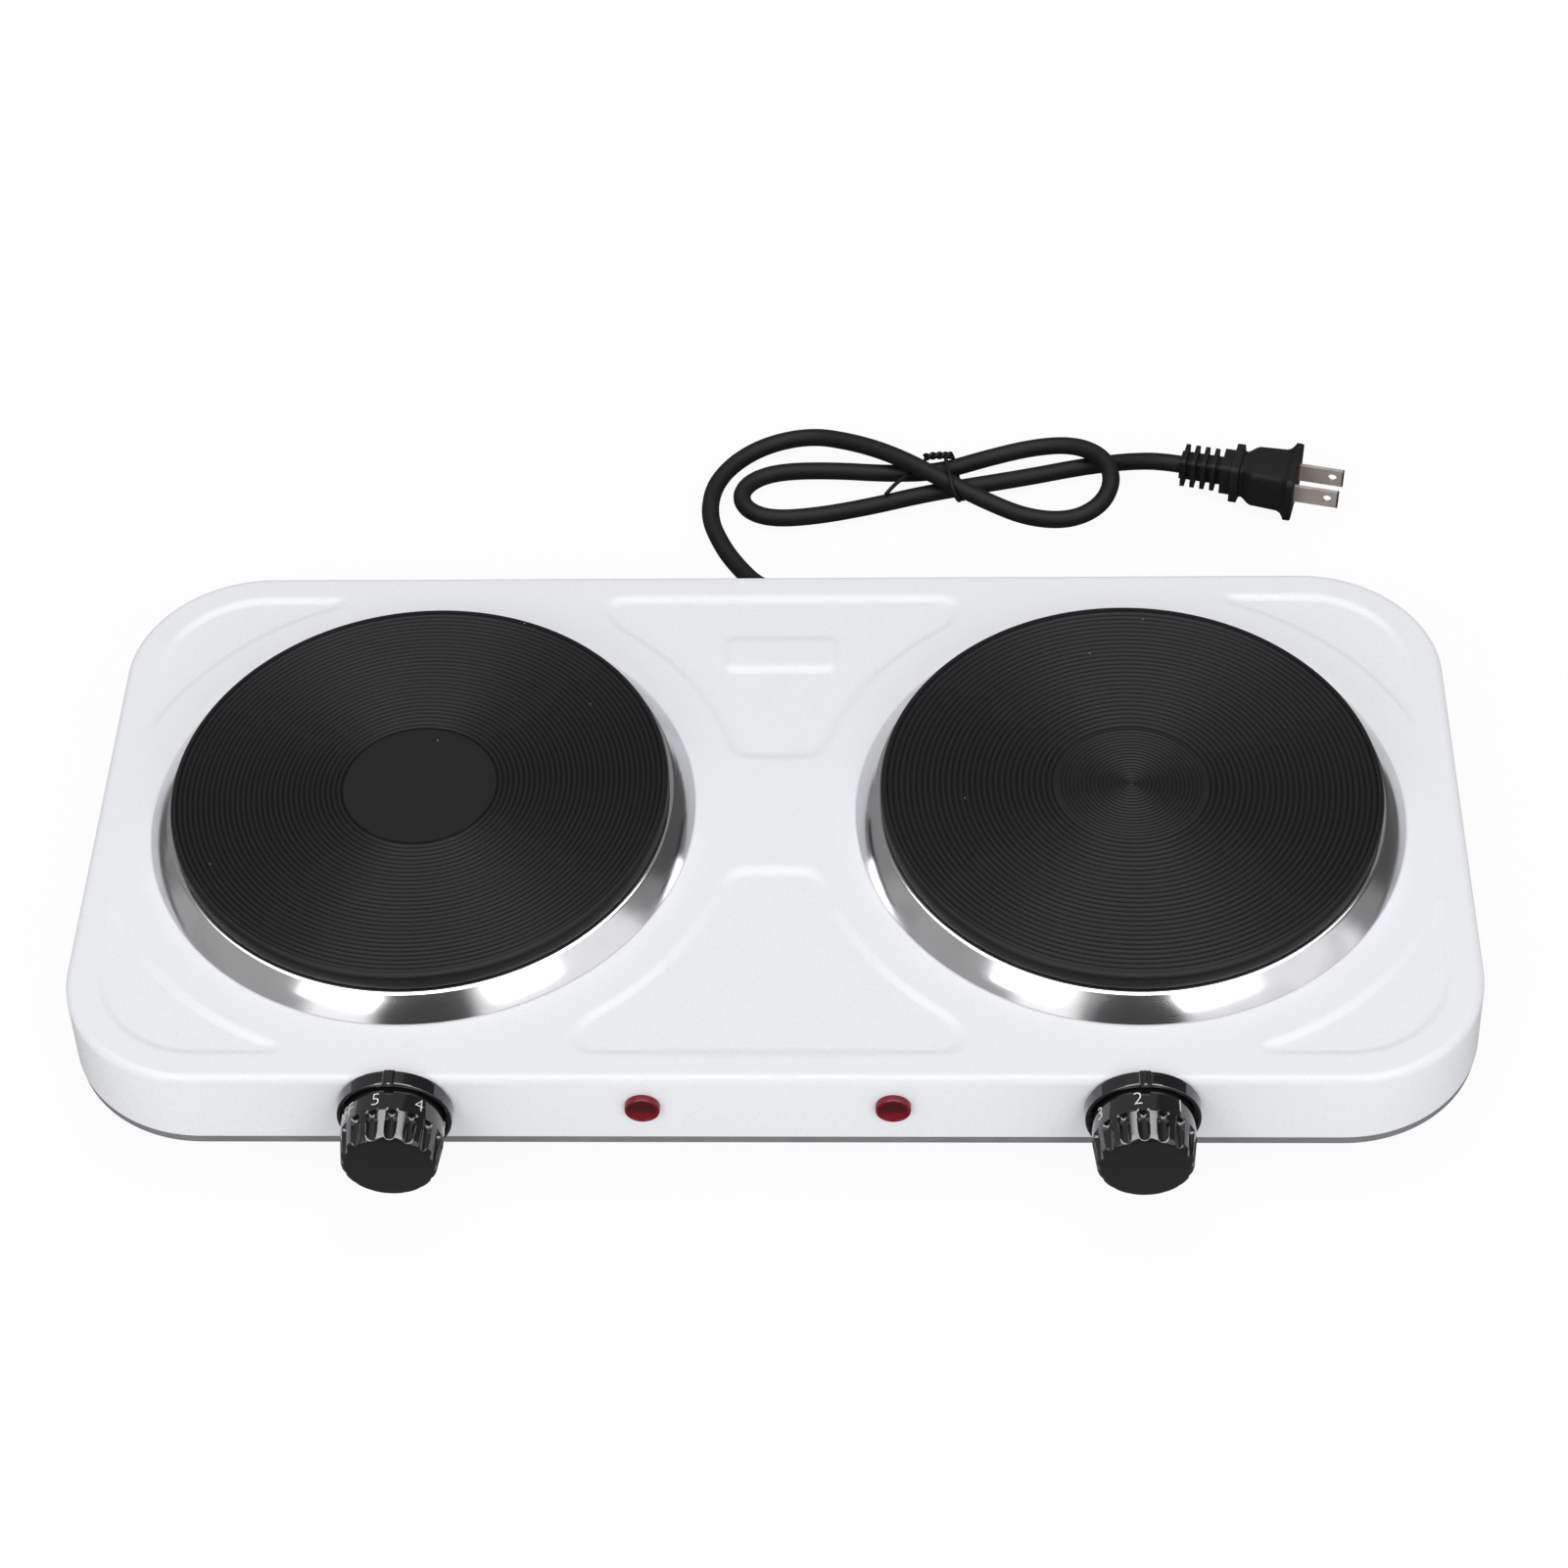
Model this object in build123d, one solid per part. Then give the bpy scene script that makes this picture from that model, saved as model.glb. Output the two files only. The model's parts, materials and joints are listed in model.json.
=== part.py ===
from build123d import *
import math
import os

# Double electric hot plate, in millimetres: X to the right, Y to the back, Z up.
# The pieces are drawn about the middle between the plates, and stored about the middle of the whole,
# from the knobs to the gland, with the origin on the floor.

# Body of pressed sheet
body_length = 428.0
body_width = 213.0
body_corner = 44.0
top_edge = 5.0
sheet = 1.0
shell_height = 26.0
base_strip = 3.5
rim_clearance = 1.0
base_gap = 0.2
base_edge = 2.0
vent_length = 34.0
vent_width = 4.0
vent_pitch = 12.0
vents_in_row = 9

# Panels pressed into the top
panel_depth = 1.0
panel_slope = 1.0
panel_margin = 10.3
panel_inner = 22.4
panel_end = 13.0
panel_corner = 4.0
panel_tip = 1.2
panel_arc_gap = 12.6
crescent_overlap = 1.3
crescent_start = 35.5
crescent_end = 36.5
rib_length = 36.0
rib_width = 14.0
rib_corner = 3.0
rib_place = 69.5

# Feet, their screws and the lugs that hold the base to the shell
foot_height = 12.0
foot_radius = 11.0
foot_taper = 1.5
foot_side_inset = 56.0
foot_inset = 26.0
foot_screw_radius = 2.0
foot_head_radius = 4.0
foot_head_height = 2.4
foot_recess = 6.0
lug_width = 16.0
lug_sheet = 2.0
lug_height = 20.0
lug_clearance = 1.0

# Cast iron plates and what clamps them
plate_offset = 110.2
plate_radius = 77.5
plate_rise = 13.1
plate_rim = 5.7
plate_overhang = 4.0
plate_rounding = 1.9
plate_roof = 9.0
plate_skirt = 7.5
plate_depth = 5.0
boss_radius = 14.0
centre_disc_radius = 23.5
centre_disc_depth = 0.4
ring_width = 7.6
ring_crest = 1.4
ring_shoulder = 2.0
ring_sheet = 0.8
ring_edge = 0.4
ring_foot = 1.5
hole_gap = 0.5
heater_height = 6.0
heater_gap = 0.3
cover_sheet = 0.8
stud_radius = 3.0
stud_length = 26.0
stud_depth = 9.0
bridge_width = 20.0
bridge_sheet = 2.0
bridge_drop = 10.0
bridge_rise = 8.0
bridge_foot = 9.0
nut_width = 10.0
nut_height = 5.0
washer_radius = 8.0
washer_height = 1.2
terminal_length = 22.0
terminal_width = 12.0
terminal_height = 9.0
terminal_corner = 2.0
terminal_place = 45.0
tab_width = 6.3
tab_sheet = 0.8
tab_length = 8.0
tab_pitch = 9.0

# Controls on the front wall
control_drop = 12.5
bezel_radius = 17.3
bezel_height = 4.0
bezel_draft = 0.3
bezel_wall = 1.6
bezel_floor = 1.2
marker_width = 3.5
marker_rise = 0.6
screw_radius = 1.9
screw_place = 10.0
screw_head_radius = 2.6
screw_head_height = 2.0
screw_depth = 9.0
shaft_radius = 3.0
shaft_flat = 1.6
shaft_fit = 0.05
shaft_reach = 15.7
shaft_depth = 14.7
end_gap = 0.3
knob_gap = 0.5
knob_back = 2.5
knob_front = 22.0
knob_taper = 1.2
knob_band = 8.0
knob_wall = 2.0
knob_face = 4.0
knob_dome = 0.5
knob_rounding = 2.2
hub_radius = 5.2
hub_back = 1.6
flutes = 16
flute_radius = 2.6
flute_depth = 1.5
flute_phase = 15.75
left_turn = 290.0
right_turn = 151.0
regulator_width = 34.0
regulator_height = 20.0
regulator_depth = 22.0
regulator_corner = 2.5
regulator_pad_width = 28.0
regulator_pad_height = 12.0

# Pilot lamps
lamp_x = 37.0
lamp_drop = 12.0
lamp_radius = 5.35
lamp_rise = 1.9
lamp_flange = 0.7
lamp_face = 4.0
lamp_dish = 0.3
lamp_ceiling = 0.5
lamp_neck = 3.9
lamp_wall = 0.9
lamp_depth = 9.0
bulb_gap = 0.3
bulb_tail = 3.0
bulb_rounding = 1.6
clip_radius = 6.5

# Supply: gland, terminal block, leads, cord, tie and plug
gland_height = 22.6
gland_flange = 7.0
gland_flange_height = 2.5
gland_flange_edge = 1.5
gland_lock = 7.0
gland_neck = 5.0
gland_shoulder = 5.6
gland_tip = 4.4
gland_reach = 9.0
gland_tail = 8.0
block_length = 42.0
block_width = 18.0
block_height = 15.0
block_inset = 40.5
block_pitch = 13.0
block_screw = 2.2
block_screw_sink = 1.0
lead_radius = 1.2
lead_bend = 3.0
core_bend = 2.0
lead_pitch = 1.7
lead_stub = 10.0
lead_sink = 14.0
lead_floor = 3.0
lead_drop = 5.0
lead_side = 40.0
return_lead_x = 4.0
fit = 0.1
cord_diameter = 6.2
tie_width = 1.5
tie_sheet = 0.9
tie_gap = 0.4
tie_step = 0.3
tie_x = 57.0
blade_width = 6.35
blade_sheet = 1.5
blade_length = 15.5
blade_pitch = 12.7
blade_hole = 1.55
blade_hole_inset = 3.9
plug_sleeve = (7.8, 7.6)
plug_rib = (12.0, 11.4)
plug_ribs = 4
plug_rib_pitch = 3.5
plug_rib_start = 0.6
plug_rib_length = 2.0
plug_collar = (12.8, 12.0)
plug_collar_start = 14.6
plug_ring = (17.4, 15.0)
plug_ring_start = 18.4
plug_waist = (13.0, 12.0)
plug_waist_start = 21.6
plug_shoulder = (18.8, 14.0)
plug_shoulder_start = 26.5
plug_grip = (20.2, 14.2)
plug_grip_end = 36.0
plug_flange = (26.4, 17.0)
plug_flange_start = 38.7
plug_face = 41.3
plug_rounding = 0.13
plug_roll = -6.5
plug_place = (137.5, 193.1, 9.75)

# Cord route from the gland to the plug
cord_route = [
    (0, 115.5, 22.6), (0, 118.6, 22.6), (-0.6, 121.9, 19.8), (-2.4, 126, 14.9), (-6, 131.2, 9.4),
    (-11, 137.8, 5.5), (-16.6, 146, 4), (-23.6, 158, 3.5), (-29.6, 175, 3.2), (-27.2, 194, 3.2),
    (-14, 209.3, 3.6), (5, 214.6, 5.2),
    (22, 206.5, 9), (37, 196, 12), (53, 184, 11.9), (68, 174.5, 10.2), (83, 168, 7.8),
    (98, 167, 7.4), (109, 173, 9), (113.4, 184, 11), (110.6, 195.5, 11), (101, 204, 9.4),
    (87, 206.5, 6.4), (70, 203, 4.4), (52, 194.8, 4.9), (34, 194.6, 4.6), (14, 197.8, 3.4),
    (-4, 197.6, 3.2), (-14, 193.4, 3.2), (-18.6, 185.8, 3.2), (-16, 177.6, 3.2), (-7, 173, 3.2),
    (9, 174.4, 3.2), (28, 178.8, 3.6), (48, 184, 4.9), (68, 189, 4.5), (85, 194.2, 3.3),
    (100, 198.4, 3.2), (110, 200.2, 3.4), (119.5, 198.6, 6.2), (129.72, 194.97, 9.75), plug_place,
]

# Strands inside the tie: place, height and half the slant across its width; then the tie's loose ends
tie_strands = [(181.1, 11.4, 1.6), (186.2, 4.9, 0.6), (197.4, 4.8, 0.8)]
tie_ends = [
    [(54.9, 200.6, 8.2), (51.5, 200.4, 8.8), (47.6, 199.4, 8.8)],
    [(33.3, 180.1, 8.15), (36.8, 185, 8.5), (40.5, 189.3, 8.4)],
]

# Heights and places worked out from the sizes above
base_bottom = foot_height
base_top = base_bottom + sheet
shell_bottom = base_bottom + base_strip
body_top = shell_bottom + shell_height
front_wall = -body_width / 2
rear_wall = body_width / 2
control_height = body_top - control_drop
lamp_height = body_top - lamp_drop
rim_top = lamp_height - clip_radius - rim_clearance
foot_x = body_length / 2 - foot_side_inset
foot_y = body_width / 2 - foot_inset
block_place = rear_wall - block_inset
ring_radius = plate_radius + ring_width
skirt_radius = plate_radius - plate_overhang
hole_radius = skirt_radius + hole_gap
plate_seat = plate_rise - plate_rim
sides = {"left": -1, "right": 1}
turns = {"left": left_turn, "right": right_turn}


def turned(points, roundings=()):
    """A solid turned about Z from a closed profile of radius and height, with some corners rounded."""
    profile = make_face(Polyline(*points, close=True))
    for corner, radius in roundings:
        profile = fillet(profile.vertices().sort_by_distance(Vector(*corner))[0], radius)
    return revolve(Plane.XZ * profile, Axis.Z)


def bar(radius, low, high):
    """A round bar along Z between two heights."""
    return Pos(0, 0, low) * Cylinder(radius, high - low, align=(Align.CENTER, Align.CENTER, Align.MIN))


def slab(length, width, low, high):
    """A block along Z between two heights."""
    return Pos(0, 0, low) * Box(length, width, high - low, align=(Align.CENTER, Align.CENTER, Align.MIN))


def on_front(x, height):
    """Place on the front wall: the local Z points out of the wall, the local Y up."""
    return Pos(x, front_wall, height) * Rot(90, 0, 0)


def on_rear(x, height):
    """Place on the rear wall: the local Z points out of the wall."""
    return Pos(x, rear_wall, height) * Rot(-90, 0, 0)


def tube(points, bend, radius):
    """A round wire along straight runs with rounded corners."""
    path = FilletPolyline(*points, radius=bend)
    return sweep(path.location_at(0) * Circle(radius), path=path)


def body_outline(inset):
    """The outline of the body, drawn in by an inset."""
    return RectangleRounded(body_length - 2 * inset, body_width - 2 * inset, body_corner - inset)


def rounded_block(inset, height, edge):
    """A block of the body's outline with its top edge rounded."""
    block = extrude(body_outline(inset), height)
    return fillet(block.faces().sort_by(Axis.Z)[-1].edges(), edge)


def middle_panel():
    """Outline of the rear middle panel, between arcs about the two plates."""
    rear = body_width / 2 - panel_margin
    depth = rear - panel_inner
    arc = ring_radius + panel_arc_gap
    half_width = plate_offset - math.sqrt(arc**2 - (rear - panel_end) ** 2)
    outline = Pos(0, panel_inner + depth / 2) * Rectangle(2 * half_width, depth)
    for side in sides.values():
        outline -= Pos(side * plate_offset, 0) * Circle(arc)
    return fillet(outline.vertices(), panel_corner)


def corner_panel():
    """Outline of the crescent panel between the right plate and the rear right corner."""
    reach = body_length / 2 - plate_offset - crescent_start
    width = body_width / 2 - crescent_end
    corner = Pos(body_length / 2 - reach / 2, crescent_end + width / 2) * Rectangle(reach, width)
    outline = body_outline(panel_margin) & corner
    outline -= Pos(plate_offset, 0) * Circle(body_width / 2 - panel_margin + crescent_overlap)
    ends = outline.vertices().sort_by(Axis.X)[:2] + outline.vertices().sort_by(Axis.Y)[:2]
    return fillet(ends, panel_tip)


def top_panels():
    """All six panel outlines of the top."""
    middle = middle_panel()
    corner = corner_panel()
    outlines = [middle, mirror(middle, Plane.XZ)]
    for half in (corner, mirror(corner, Plane.YZ)):
        outlines += [half, mirror(half, Plane.XZ)]
    return outlines


def top_shell():
    """The white shell: a pressed tray upside down, with panels, plate holes and wall holes."""
    outer = rounded_block(0, shell_height, top_edge)
    inner = rounded_block(sheet, shell_height - sheet, top_edge - sheet)
    shell = Pos(0, 0, shell_bottom) * (outer - inner)
    slope = math.degrees(math.atan(panel_slope / panel_depth))
    for outline in top_panels():
        shell += Pos(0, 0, body_top - sheet - panel_depth) * extrude(outline, panel_depth)
        shell -= extrude(Pos(0, 0, body_top) * outline, panel_depth, dir=(0, 0, -1), taper=slope)
    rib = extrude(RectangleRounded(rib_length, rib_width, rib_corner), panel_depth, taper=slope)
    shell += Pos(0, rib_place, body_top - panel_depth) * rib
    for side in sides.values():
        shell -= Pos(side * plate_offset, 0) * bar(hole_radius, body_top - 2 * sheet, body_top + sheet)
        control = on_front(side * plate_offset, control_height)
        shell -= control * bar(hub_radius, -2 * sheet, sheet)
        for x in (-screw_place, screw_place):
            shell -= control * Pos(x, 0) * bar(screw_radius + fit, -2 * sheet, sheet)
        shell -= on_front(side * lamp_x, lamp_height) * bar(lamp_neck + fit, -2 * sheet, sheet)
    return shell - on_rear(0, gland_height) * bar(gland_neck + fit, -2 * sheet, sheet)


def base_plate():
    """The grey base: a shallow tray inside the shell, with vent slots and screw holes."""
    outer_inset = sheet + base_gap
    rim = rim_top - base_bottom
    outer = extrude(body_outline(outer_inset), rim)
    outer = fillet(outer.faces().sort_by(Axis.Z)[0].edges(), base_edge)
    base = outer - Pos(0, 0, sheet) * extrude(body_outline(outer_inset + sheet), rim)
    slot = extrude(SlotOverall(vent_length, vent_width, rotation=90), 2 * sheet)
    for side in sides.values():
        for step in range(vents_in_row):
            x = side * plate_offset + (step - (vents_in_row - 1) / 2) * vent_pitch
            base -= Pos(x, 0, -sheet / 2) * slot
    base = Pos(0, 0, base_bottom) * base
    for x, y in foot_places():
        base -= Pos(x, y) * bar(foot_screw_radius + fit, base_bottom - sheet, base_top + sheet)
    notch = 2 * (gland_flange + fit)
    base -= Pos(0, rear_wall) * slab(notch, 8 * sheet, gland_height - gland_flange - fit, body_top)
    return base


def foot_places():
    """Centres of the four feet."""
    return [(x, y) for x in (-foot_x, foot_x) for y in (-foot_y, foot_y)]


def foot():
    """A tapered foot with a counterbore for its screw."""
    tapered = turned([
        (0, 0), (foot_radius - foot_taper, 0), (foot_radius, foot_height), (0, foot_height),
    ])
    tapered -= bar(foot_head_radius + fit, -1, foot_recess)
    return tapered - bar(foot_screw_radius + fit, 0, foot_height + 1)


def foot_screw():
    """A pan head screw through the foot and the base into the lug."""
    head = bar(foot_head_radius, foot_recess - foot_head_height, foot_recess)
    shank = bar(foot_screw_radius, foot_recess, base_top + 2 * lug_sheet)
    return head + shank


def lug():
    """A joggled strap from the rear wall of the shell to the screw above a foot, at Y = 0 over the foot."""
    wall = foot_inset - sheet
    rim = wall - base_gap - sheet - end_gap
    low = base_top
    bend = rim_top + lug_sheet + lug_clearance
    high = low + lug_height
    points = [
        (-lug_width / 2, low), (rim, low), (rim, bend - lug_sheet), (wall, bend), (wall, high),
        (wall - lug_sheet, high), (wall - lug_sheet, bend + lug_sheet), (rim - lug_sheet, bend),
        (rim - lug_sheet, low + lug_sheet), (-lug_width / 2, low + lug_sheet),
    ]
    strap = extrude(Plane.YZ * make_face(Polyline(*points, close=True)), lug_width / 2, both=True)
    return strap - bar(foot_screw_radius + fit, low - 1, low + 2 * lug_sheet)


def hotplate(disc):
    """A cast iron plate: rounded rim, skirt through the hole, heater channel and stud boss below."""
    top = plate_rise
    low = -plate_depth
    roof = plate_rise - plate_roof
    channel = skirt_radius - plate_skirt
    plate = turned([
        (0, top), (plate_radius, top), (plate_radius, plate_seat), (skirt_radius, plate_seat),
        (skirt_radius, low), (channel, low), (channel, roof), (boss_radius, roof),
        (boss_radius, low), (0, low),
    ], [((plate_radius, top), plate_rounding)])
    if disc:
        plate -= bar(disc, top - centre_disc_depth, top + 1)
    return plate - bar(stud_radius + shaft_fit, low - 1, low + stud_depth)


def heater_ring():
    """The insulated heating ring, seated on the roof of the plate's channel."""
    roof = plate_rise - plate_roof
    outer = skirt_radius - plate_skirt - heater_gap
    inner = boss_radius + heater_gap
    return bar(outer, roof - heater_height, roof) - bar(inner, roof - heater_height - 1, roof + 1)


def element_cover():
    """The thin cover below the heating ring, seated on the plate's underside."""
    low = -plate_depth
    cover = bar(skirt_radius - heater_gap, low - cover_sheet, low)
    cover -= bar(stud_radius + fit, low - 2 * cover_sheet, low + 1)
    return cover


def trim_ring():
    """The polished spill ring: sloping band, rounded crest and a lip under the plate's rim."""
    lip = skirt_radius + hole_gap
    crest = plate_radius + ring_crest
    points = [
        (ring_radius, 0), (ring_radius, ring_edge), (crest, plate_seat), (lip, plate_seat),
        (lip, plate_seat - ring_sheet), (crest - ring_sheet, plate_seat - ring_sheet),
        (ring_radius - ring_foot, 0),
    ]
    return turned(points, [((crest, plate_seat), ring_shoulder)])


def plate_stud():
    """The stud that pulls the plate down."""
    top = -plate_depth + stud_depth
    return bar(stud_radius, top - stud_length, top)


def clamp_bridge():
    """The dished strap below the plate, bearing on the underside of the shell either side of its hole."""
    high = -sheet
    low = high - bridge_drop
    rise_end = hole_radius + bridge_rise / 2
    rise_start = rise_end - bridge_rise
    end = rise_end + bridge_foot
    half = [(rise_start, low), (rise_end, high), (end, high)]
    upper = [(-x, z) for x, z in reversed(half)] + half
    lower = [(x, z - bridge_sheet) for x, z in reversed(upper)]
    side_view = make_face(Polyline(*upper, *lower, close=True))
    strap = extrude(Plane.XZ * side_view, bridge_width / 2, both=True)
    return strap - bar(stud_radius + fit, low - 2 * bridge_sheet, low + 1)


def bridge_bottom():
    """Height of the underside of the bridge below the top of the shell."""
    return -sheet - bridge_drop - bridge_sheet


def clamp_washer():
    """The washer below the bridge."""
    top = bridge_bottom()
    washer = bar(washer_radius, top - washer_height, top)
    return washer - bar(stud_radius + fit, top - 2 * washer_height, top + 1)


def clamp_nut():
    """The hexagon nut on the stud."""
    top = bridge_bottom() - washer_height
    hexagon = RegularPolygon(nut_width / 2, 6, major_radius=False)
    nut = Pos(0, 0, top - nut_height) * extrude(hexagon, nut_height)
    return nut - bar(stud_radius + shaft_fit, top - 2 * nut_height, top + 1)


def element_terminal():
    """The ceramic terminal below the cover."""
    top = -plate_depth - cover_sheet
    block = extrude(RectangleRounded(terminal_length, terminal_width, terminal_corner), terminal_height)
    return Pos(0, terminal_place, top - terminal_height) * block


def element_tabs():
    """Two blade tabs below the ceramic terminal."""
    top = -plate_depth - cover_sheet - terminal_height
    tab = slab(tab_sheet, tab_width, top - tab_length / 2, top)
    return [Pos(x, terminal_place) * tab for x in (-tab_pitch / 2, tab_pitch / 2)]


def regulator():
    """The heat regulator behind the front wall, tapped for the bezel's screws and bored for the shaft."""
    back = -sheet - regulator_depth
    front = -sheet - base_gap - sheet - end_gap
    section = RectangleRounded(regulator_width, regulator_height, regulator_corner)
    body = Pos(0, 0, back) * extrude(section, front - back)
    body += slab(regulator_pad_width, regulator_pad_height, front, -sheet)
    body -= bar(shaft_radius + shaft_fit, -shaft_depth - end_gap, 0)
    for x in (-screw_place, screw_place):
        body -= Pos(x, 0) * bar(screw_radius + shaft_fit, -screw_depth - end_gap, 0)
    return body


def regulator_tabs():
    """Two blade tabs on the back of the regulator."""
    back = -sheet - regulator_depth
    tab = slab(tab_width, tab_sheet, back - tab_length, back)
    return [Pos(x, 0) * tab for x in (-tab_pitch, tab_pitch)]


def shaft(turn):
    """The regulator's shaft, flatted where it enters the knob."""
    rod = bar(shaft_radius, -shaft_depth, shaft_reach)
    flat = slab(4 * shaft_radius, 2 * shaft_radius, knob_back, shaft_reach + 1)
    return Rot(0, 0, -turn) * (rod - Pos(0, shaft_flat + shaft_radius) * flat)


def bezel():
    """The black ring round a knob, with its raised marker at the top."""
    inside = bezel_radius - bezel_wall
    ring = turned([
        (hub_radius, 0), (bezel_radius, 0), (bezel_radius - bezel_draft, bezel_height),
        (inside, bezel_height), (inside, bezel_floor), (hub_radius, bezel_floor),
    ])
    reach = bezel_wall + marker_rise
    middle = bezel_radius + marker_rise - reach / 2
    ring += Pos(0, middle) * slab(marker_width, reach, 0, bezel_height + marker_rise)
    for x in (-screw_place, screw_place):
        ring -= Pos(x, 0) * bar(screw_radius + fit, -1, bezel_floor + 1)
    return ring


def bezel_screws():
    """The two screws through the bezel and the wall into the regulator."""
    shank = bar(screw_radius, -screw_depth, bezel_floor)
    screw = shank + bar(screw_head_radius, bezel_floor, bezel_floor + screw_head_height)
    return [Pos(x, 0) * screw for x in (-screw_place, screw_place)]


def knob(turn):
    """A hollow fluted knob: a plain band for the dial, flutes deepening forwards, a hub for the shaft."""
    radius = bezel_radius - bezel_wall - knob_gap
    nose = radius - knob_taper
    inside = radius - knob_wall
    ceiling = knob_front - knob_face
    body = turned([
        (0, hub_back), (hub_radius, hub_back), (hub_radius, ceiling), (inside - knob_taper, ceiling),
        (inside, knob_back), (radius, knob_back), (radius, knob_back + knob_band),
        (nose, knob_front - knob_dome), (0, knob_front),
    ], [((nose, knob_front - knob_dome), knob_rounding)])
    bore = Circle(shaft_radius + shaft_fit)
    bore -= Pos(0, shaft_flat + shaft_fit + shaft_radius) * Rectangle(4 * shaft_radius, 2 * shaft_radius)
    body -= Pos(0, 0, knob_back) * extrude(bore, shaft_reach - knob_back)
    body -= bar(shaft_radius + shaft_fit, hub_back - 1, knob_back)
    start = knob_back + knob_band
    run = knob_front - start
    lean = math.degrees(math.atan((flute_depth + knob_taper) / run))
    cutter = Pos(0, radius + flute_radius, start) * Rot(lean, 0, 0) * bar(flute_radius, -2, 2 * run)
    for step in range(flutes):
        body -= Rot(0, 0, -flute_phase - step * 360 / flutes) * cutter
    return Rot(0, 0, -turn) * body


def lamp_lens():
    """The red lens cap with a hollow neck through the wall."""
    inside = lamp_neck - lamp_wall
    return turned([
        (0, lamp_rise - lamp_dish), (lamp_face, lamp_rise), (lamp_radius, lamp_flange), (lamp_radius, 0),
        (lamp_neck, 0), (lamp_neck, -lamp_depth), (inside, -lamp_depth), (inside, lamp_ceiling),
        (0, lamp_ceiling),
    ])


def lamp_bulb():
    """The neon bulb inside the lens."""
    radius = lamp_neck - lamp_wall - bulb_gap
    bulb = bar(radius, -lamp_depth - bulb_tail, lamp_ceiling - end_gap)
    return fillet(bulb.faces().sort_by(Axis.Z)[-1].edges(), bulb_rounding)


def lamp_clip():
    """The push-on ring that holds the lens from inside."""
    return bar(clip_radius, -2 * sheet, -sheet) - bar(lamp_neck + shaft_fit, -3 * sheet, 0)


def cord_gland():
    """The gland in the rear wall, tapering outwards to the cord."""
    lock_back = -sheet - gland_flange_height
    return turned([
        (0, -sheet - gland_tail), (gland_neck, -sheet - gland_tail), (gland_neck, lock_back),
        (gland_lock, lock_back), (gland_lock, -sheet), (gland_neck, -sheet),
        (gland_neck, 0), (gland_flange, 0), (gland_flange, gland_flange_edge),
        (gland_shoulder, gland_flange_height), (gland_tip, gland_reach), (0, gland_reach),
    ])


def terminal_block():
    """The block on the base where the cord's cores meet the inner leads."""
    top = base_top + block_height
    block = Pos(0, block_place) * slab(block_length, block_width, base_top, top)
    for x in (-block_pitch, 0, block_pitch):
        block -= Pos(x, block_place) * bar(block_screw + fit, top - block_height / 2, top + 1)
    return block


def block_screws():
    """The clamping screws of the terminal block."""
    top = base_top + block_height
    screw = bar(block_screw, top - block_height / 2, top - block_screw_sink)
    return [Pos(x, block_place) * screw for x in (-block_pitch, 0, block_pitch)]


def supply_leads():
    """The cord's two cores from the gland to the back of the terminal block."""
    start = rear_wall - sheet - gland_tail
    end = block_place + block_width / 2
    height = base_top + block_height / 2
    middle = (start + end) / 2
    leads = []
    for x in (-1, 1):
        points = [
            (x * lead_pitch, start, gland_height), (x * lead_pitch, (start + middle) / 2, gland_height),
            (x * block_pitch, (middle + end) / 2, height), (x * block_pitch, end, height),
        ]
        leads.append(tube(points, core_bend, lead_radius))
    return leads


def side_leads(side):
    """Feed from block to regulator, load from regulator to plate, return from plate to block."""
    front_end = front_wall + sheet + regulator_depth + tab_length
    block_front = block_place - block_width / 2
    height = base_top + block_height / 2
    tab_bottom = body_top - plate_depth - cover_sheet - terminal_height - tab_length / 2
    low = base_top + lead_floor
    near = plate_offset - tab_pitch
    far = plate_offset + tab_pitch
    inner = plate_offset - tab_pitch / 2
    outer = plate_offset + tab_pitch / 2
    feed = [
        (block_pitch, block_front, height), (block_pitch, block_front - lead_stub, height),
        (near - lead_side, 0, low + lead_floor), (near, front_end + lead_stub + lead_sink, low + lead_floor),
        (near, front_end + lead_stub, control_height), (near, front_end, control_height),
    ]
    load = [
        (far, front_end, control_height), (far, front_end + lead_stub, control_height),
        (far, front_end + lead_stub + lead_sink, low), (outer, terminal_place - lead_stub, low),
        (outer, terminal_place, tab_bottom - lead_drop), (outer, terminal_place, tab_bottom),
    ]
    back = [
        (inner, terminal_place, tab_bottom), (inner, terminal_place, tab_bottom - lead_drop),
        (inner - lead_stub, terminal_place, low), (block_length, block_front - lead_sink, low),
        (return_lead_x, block_front - lead_stub, height), (return_lead_x, block_front, height),
    ]
    routes = [[(side * x, y, z) for x, y, z in points] for points in (feed, load, back)]
    return [tube(points, lead_bend, lead_radius) for points in routes]


def corner_radii(route):
    """The radius of each bend: 0.45 of its shorter run over the tangent of half its turn."""
    points = [Vector(*point) for point in route]
    radii = []
    for before, here, after in zip(points, points[1:], points[2:]):
        run_in = here - before
        run_out = after - here
        half_turn = math.radians(run_in.get_angle(run_out)) / 2
        radii.append(0.45 * min(run_in.length, run_out.length) / math.tan(half_turn))
    return radii


def least_gap(path, samples, skip):
    """Smallest gap between stretches of the cord that lie more than a skip apart along its path."""
    points = [path.position_at(step / samples) for step in range(samples + 1)]
    apart = math.ceil(skip / path.length * samples)
    nearest = min(
        (points[first] - points[second]).length
        for first in range(samples + 1)
        for second in range(first + apart, samples + 1)
    )
    return nearest - cord_diameter


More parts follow.
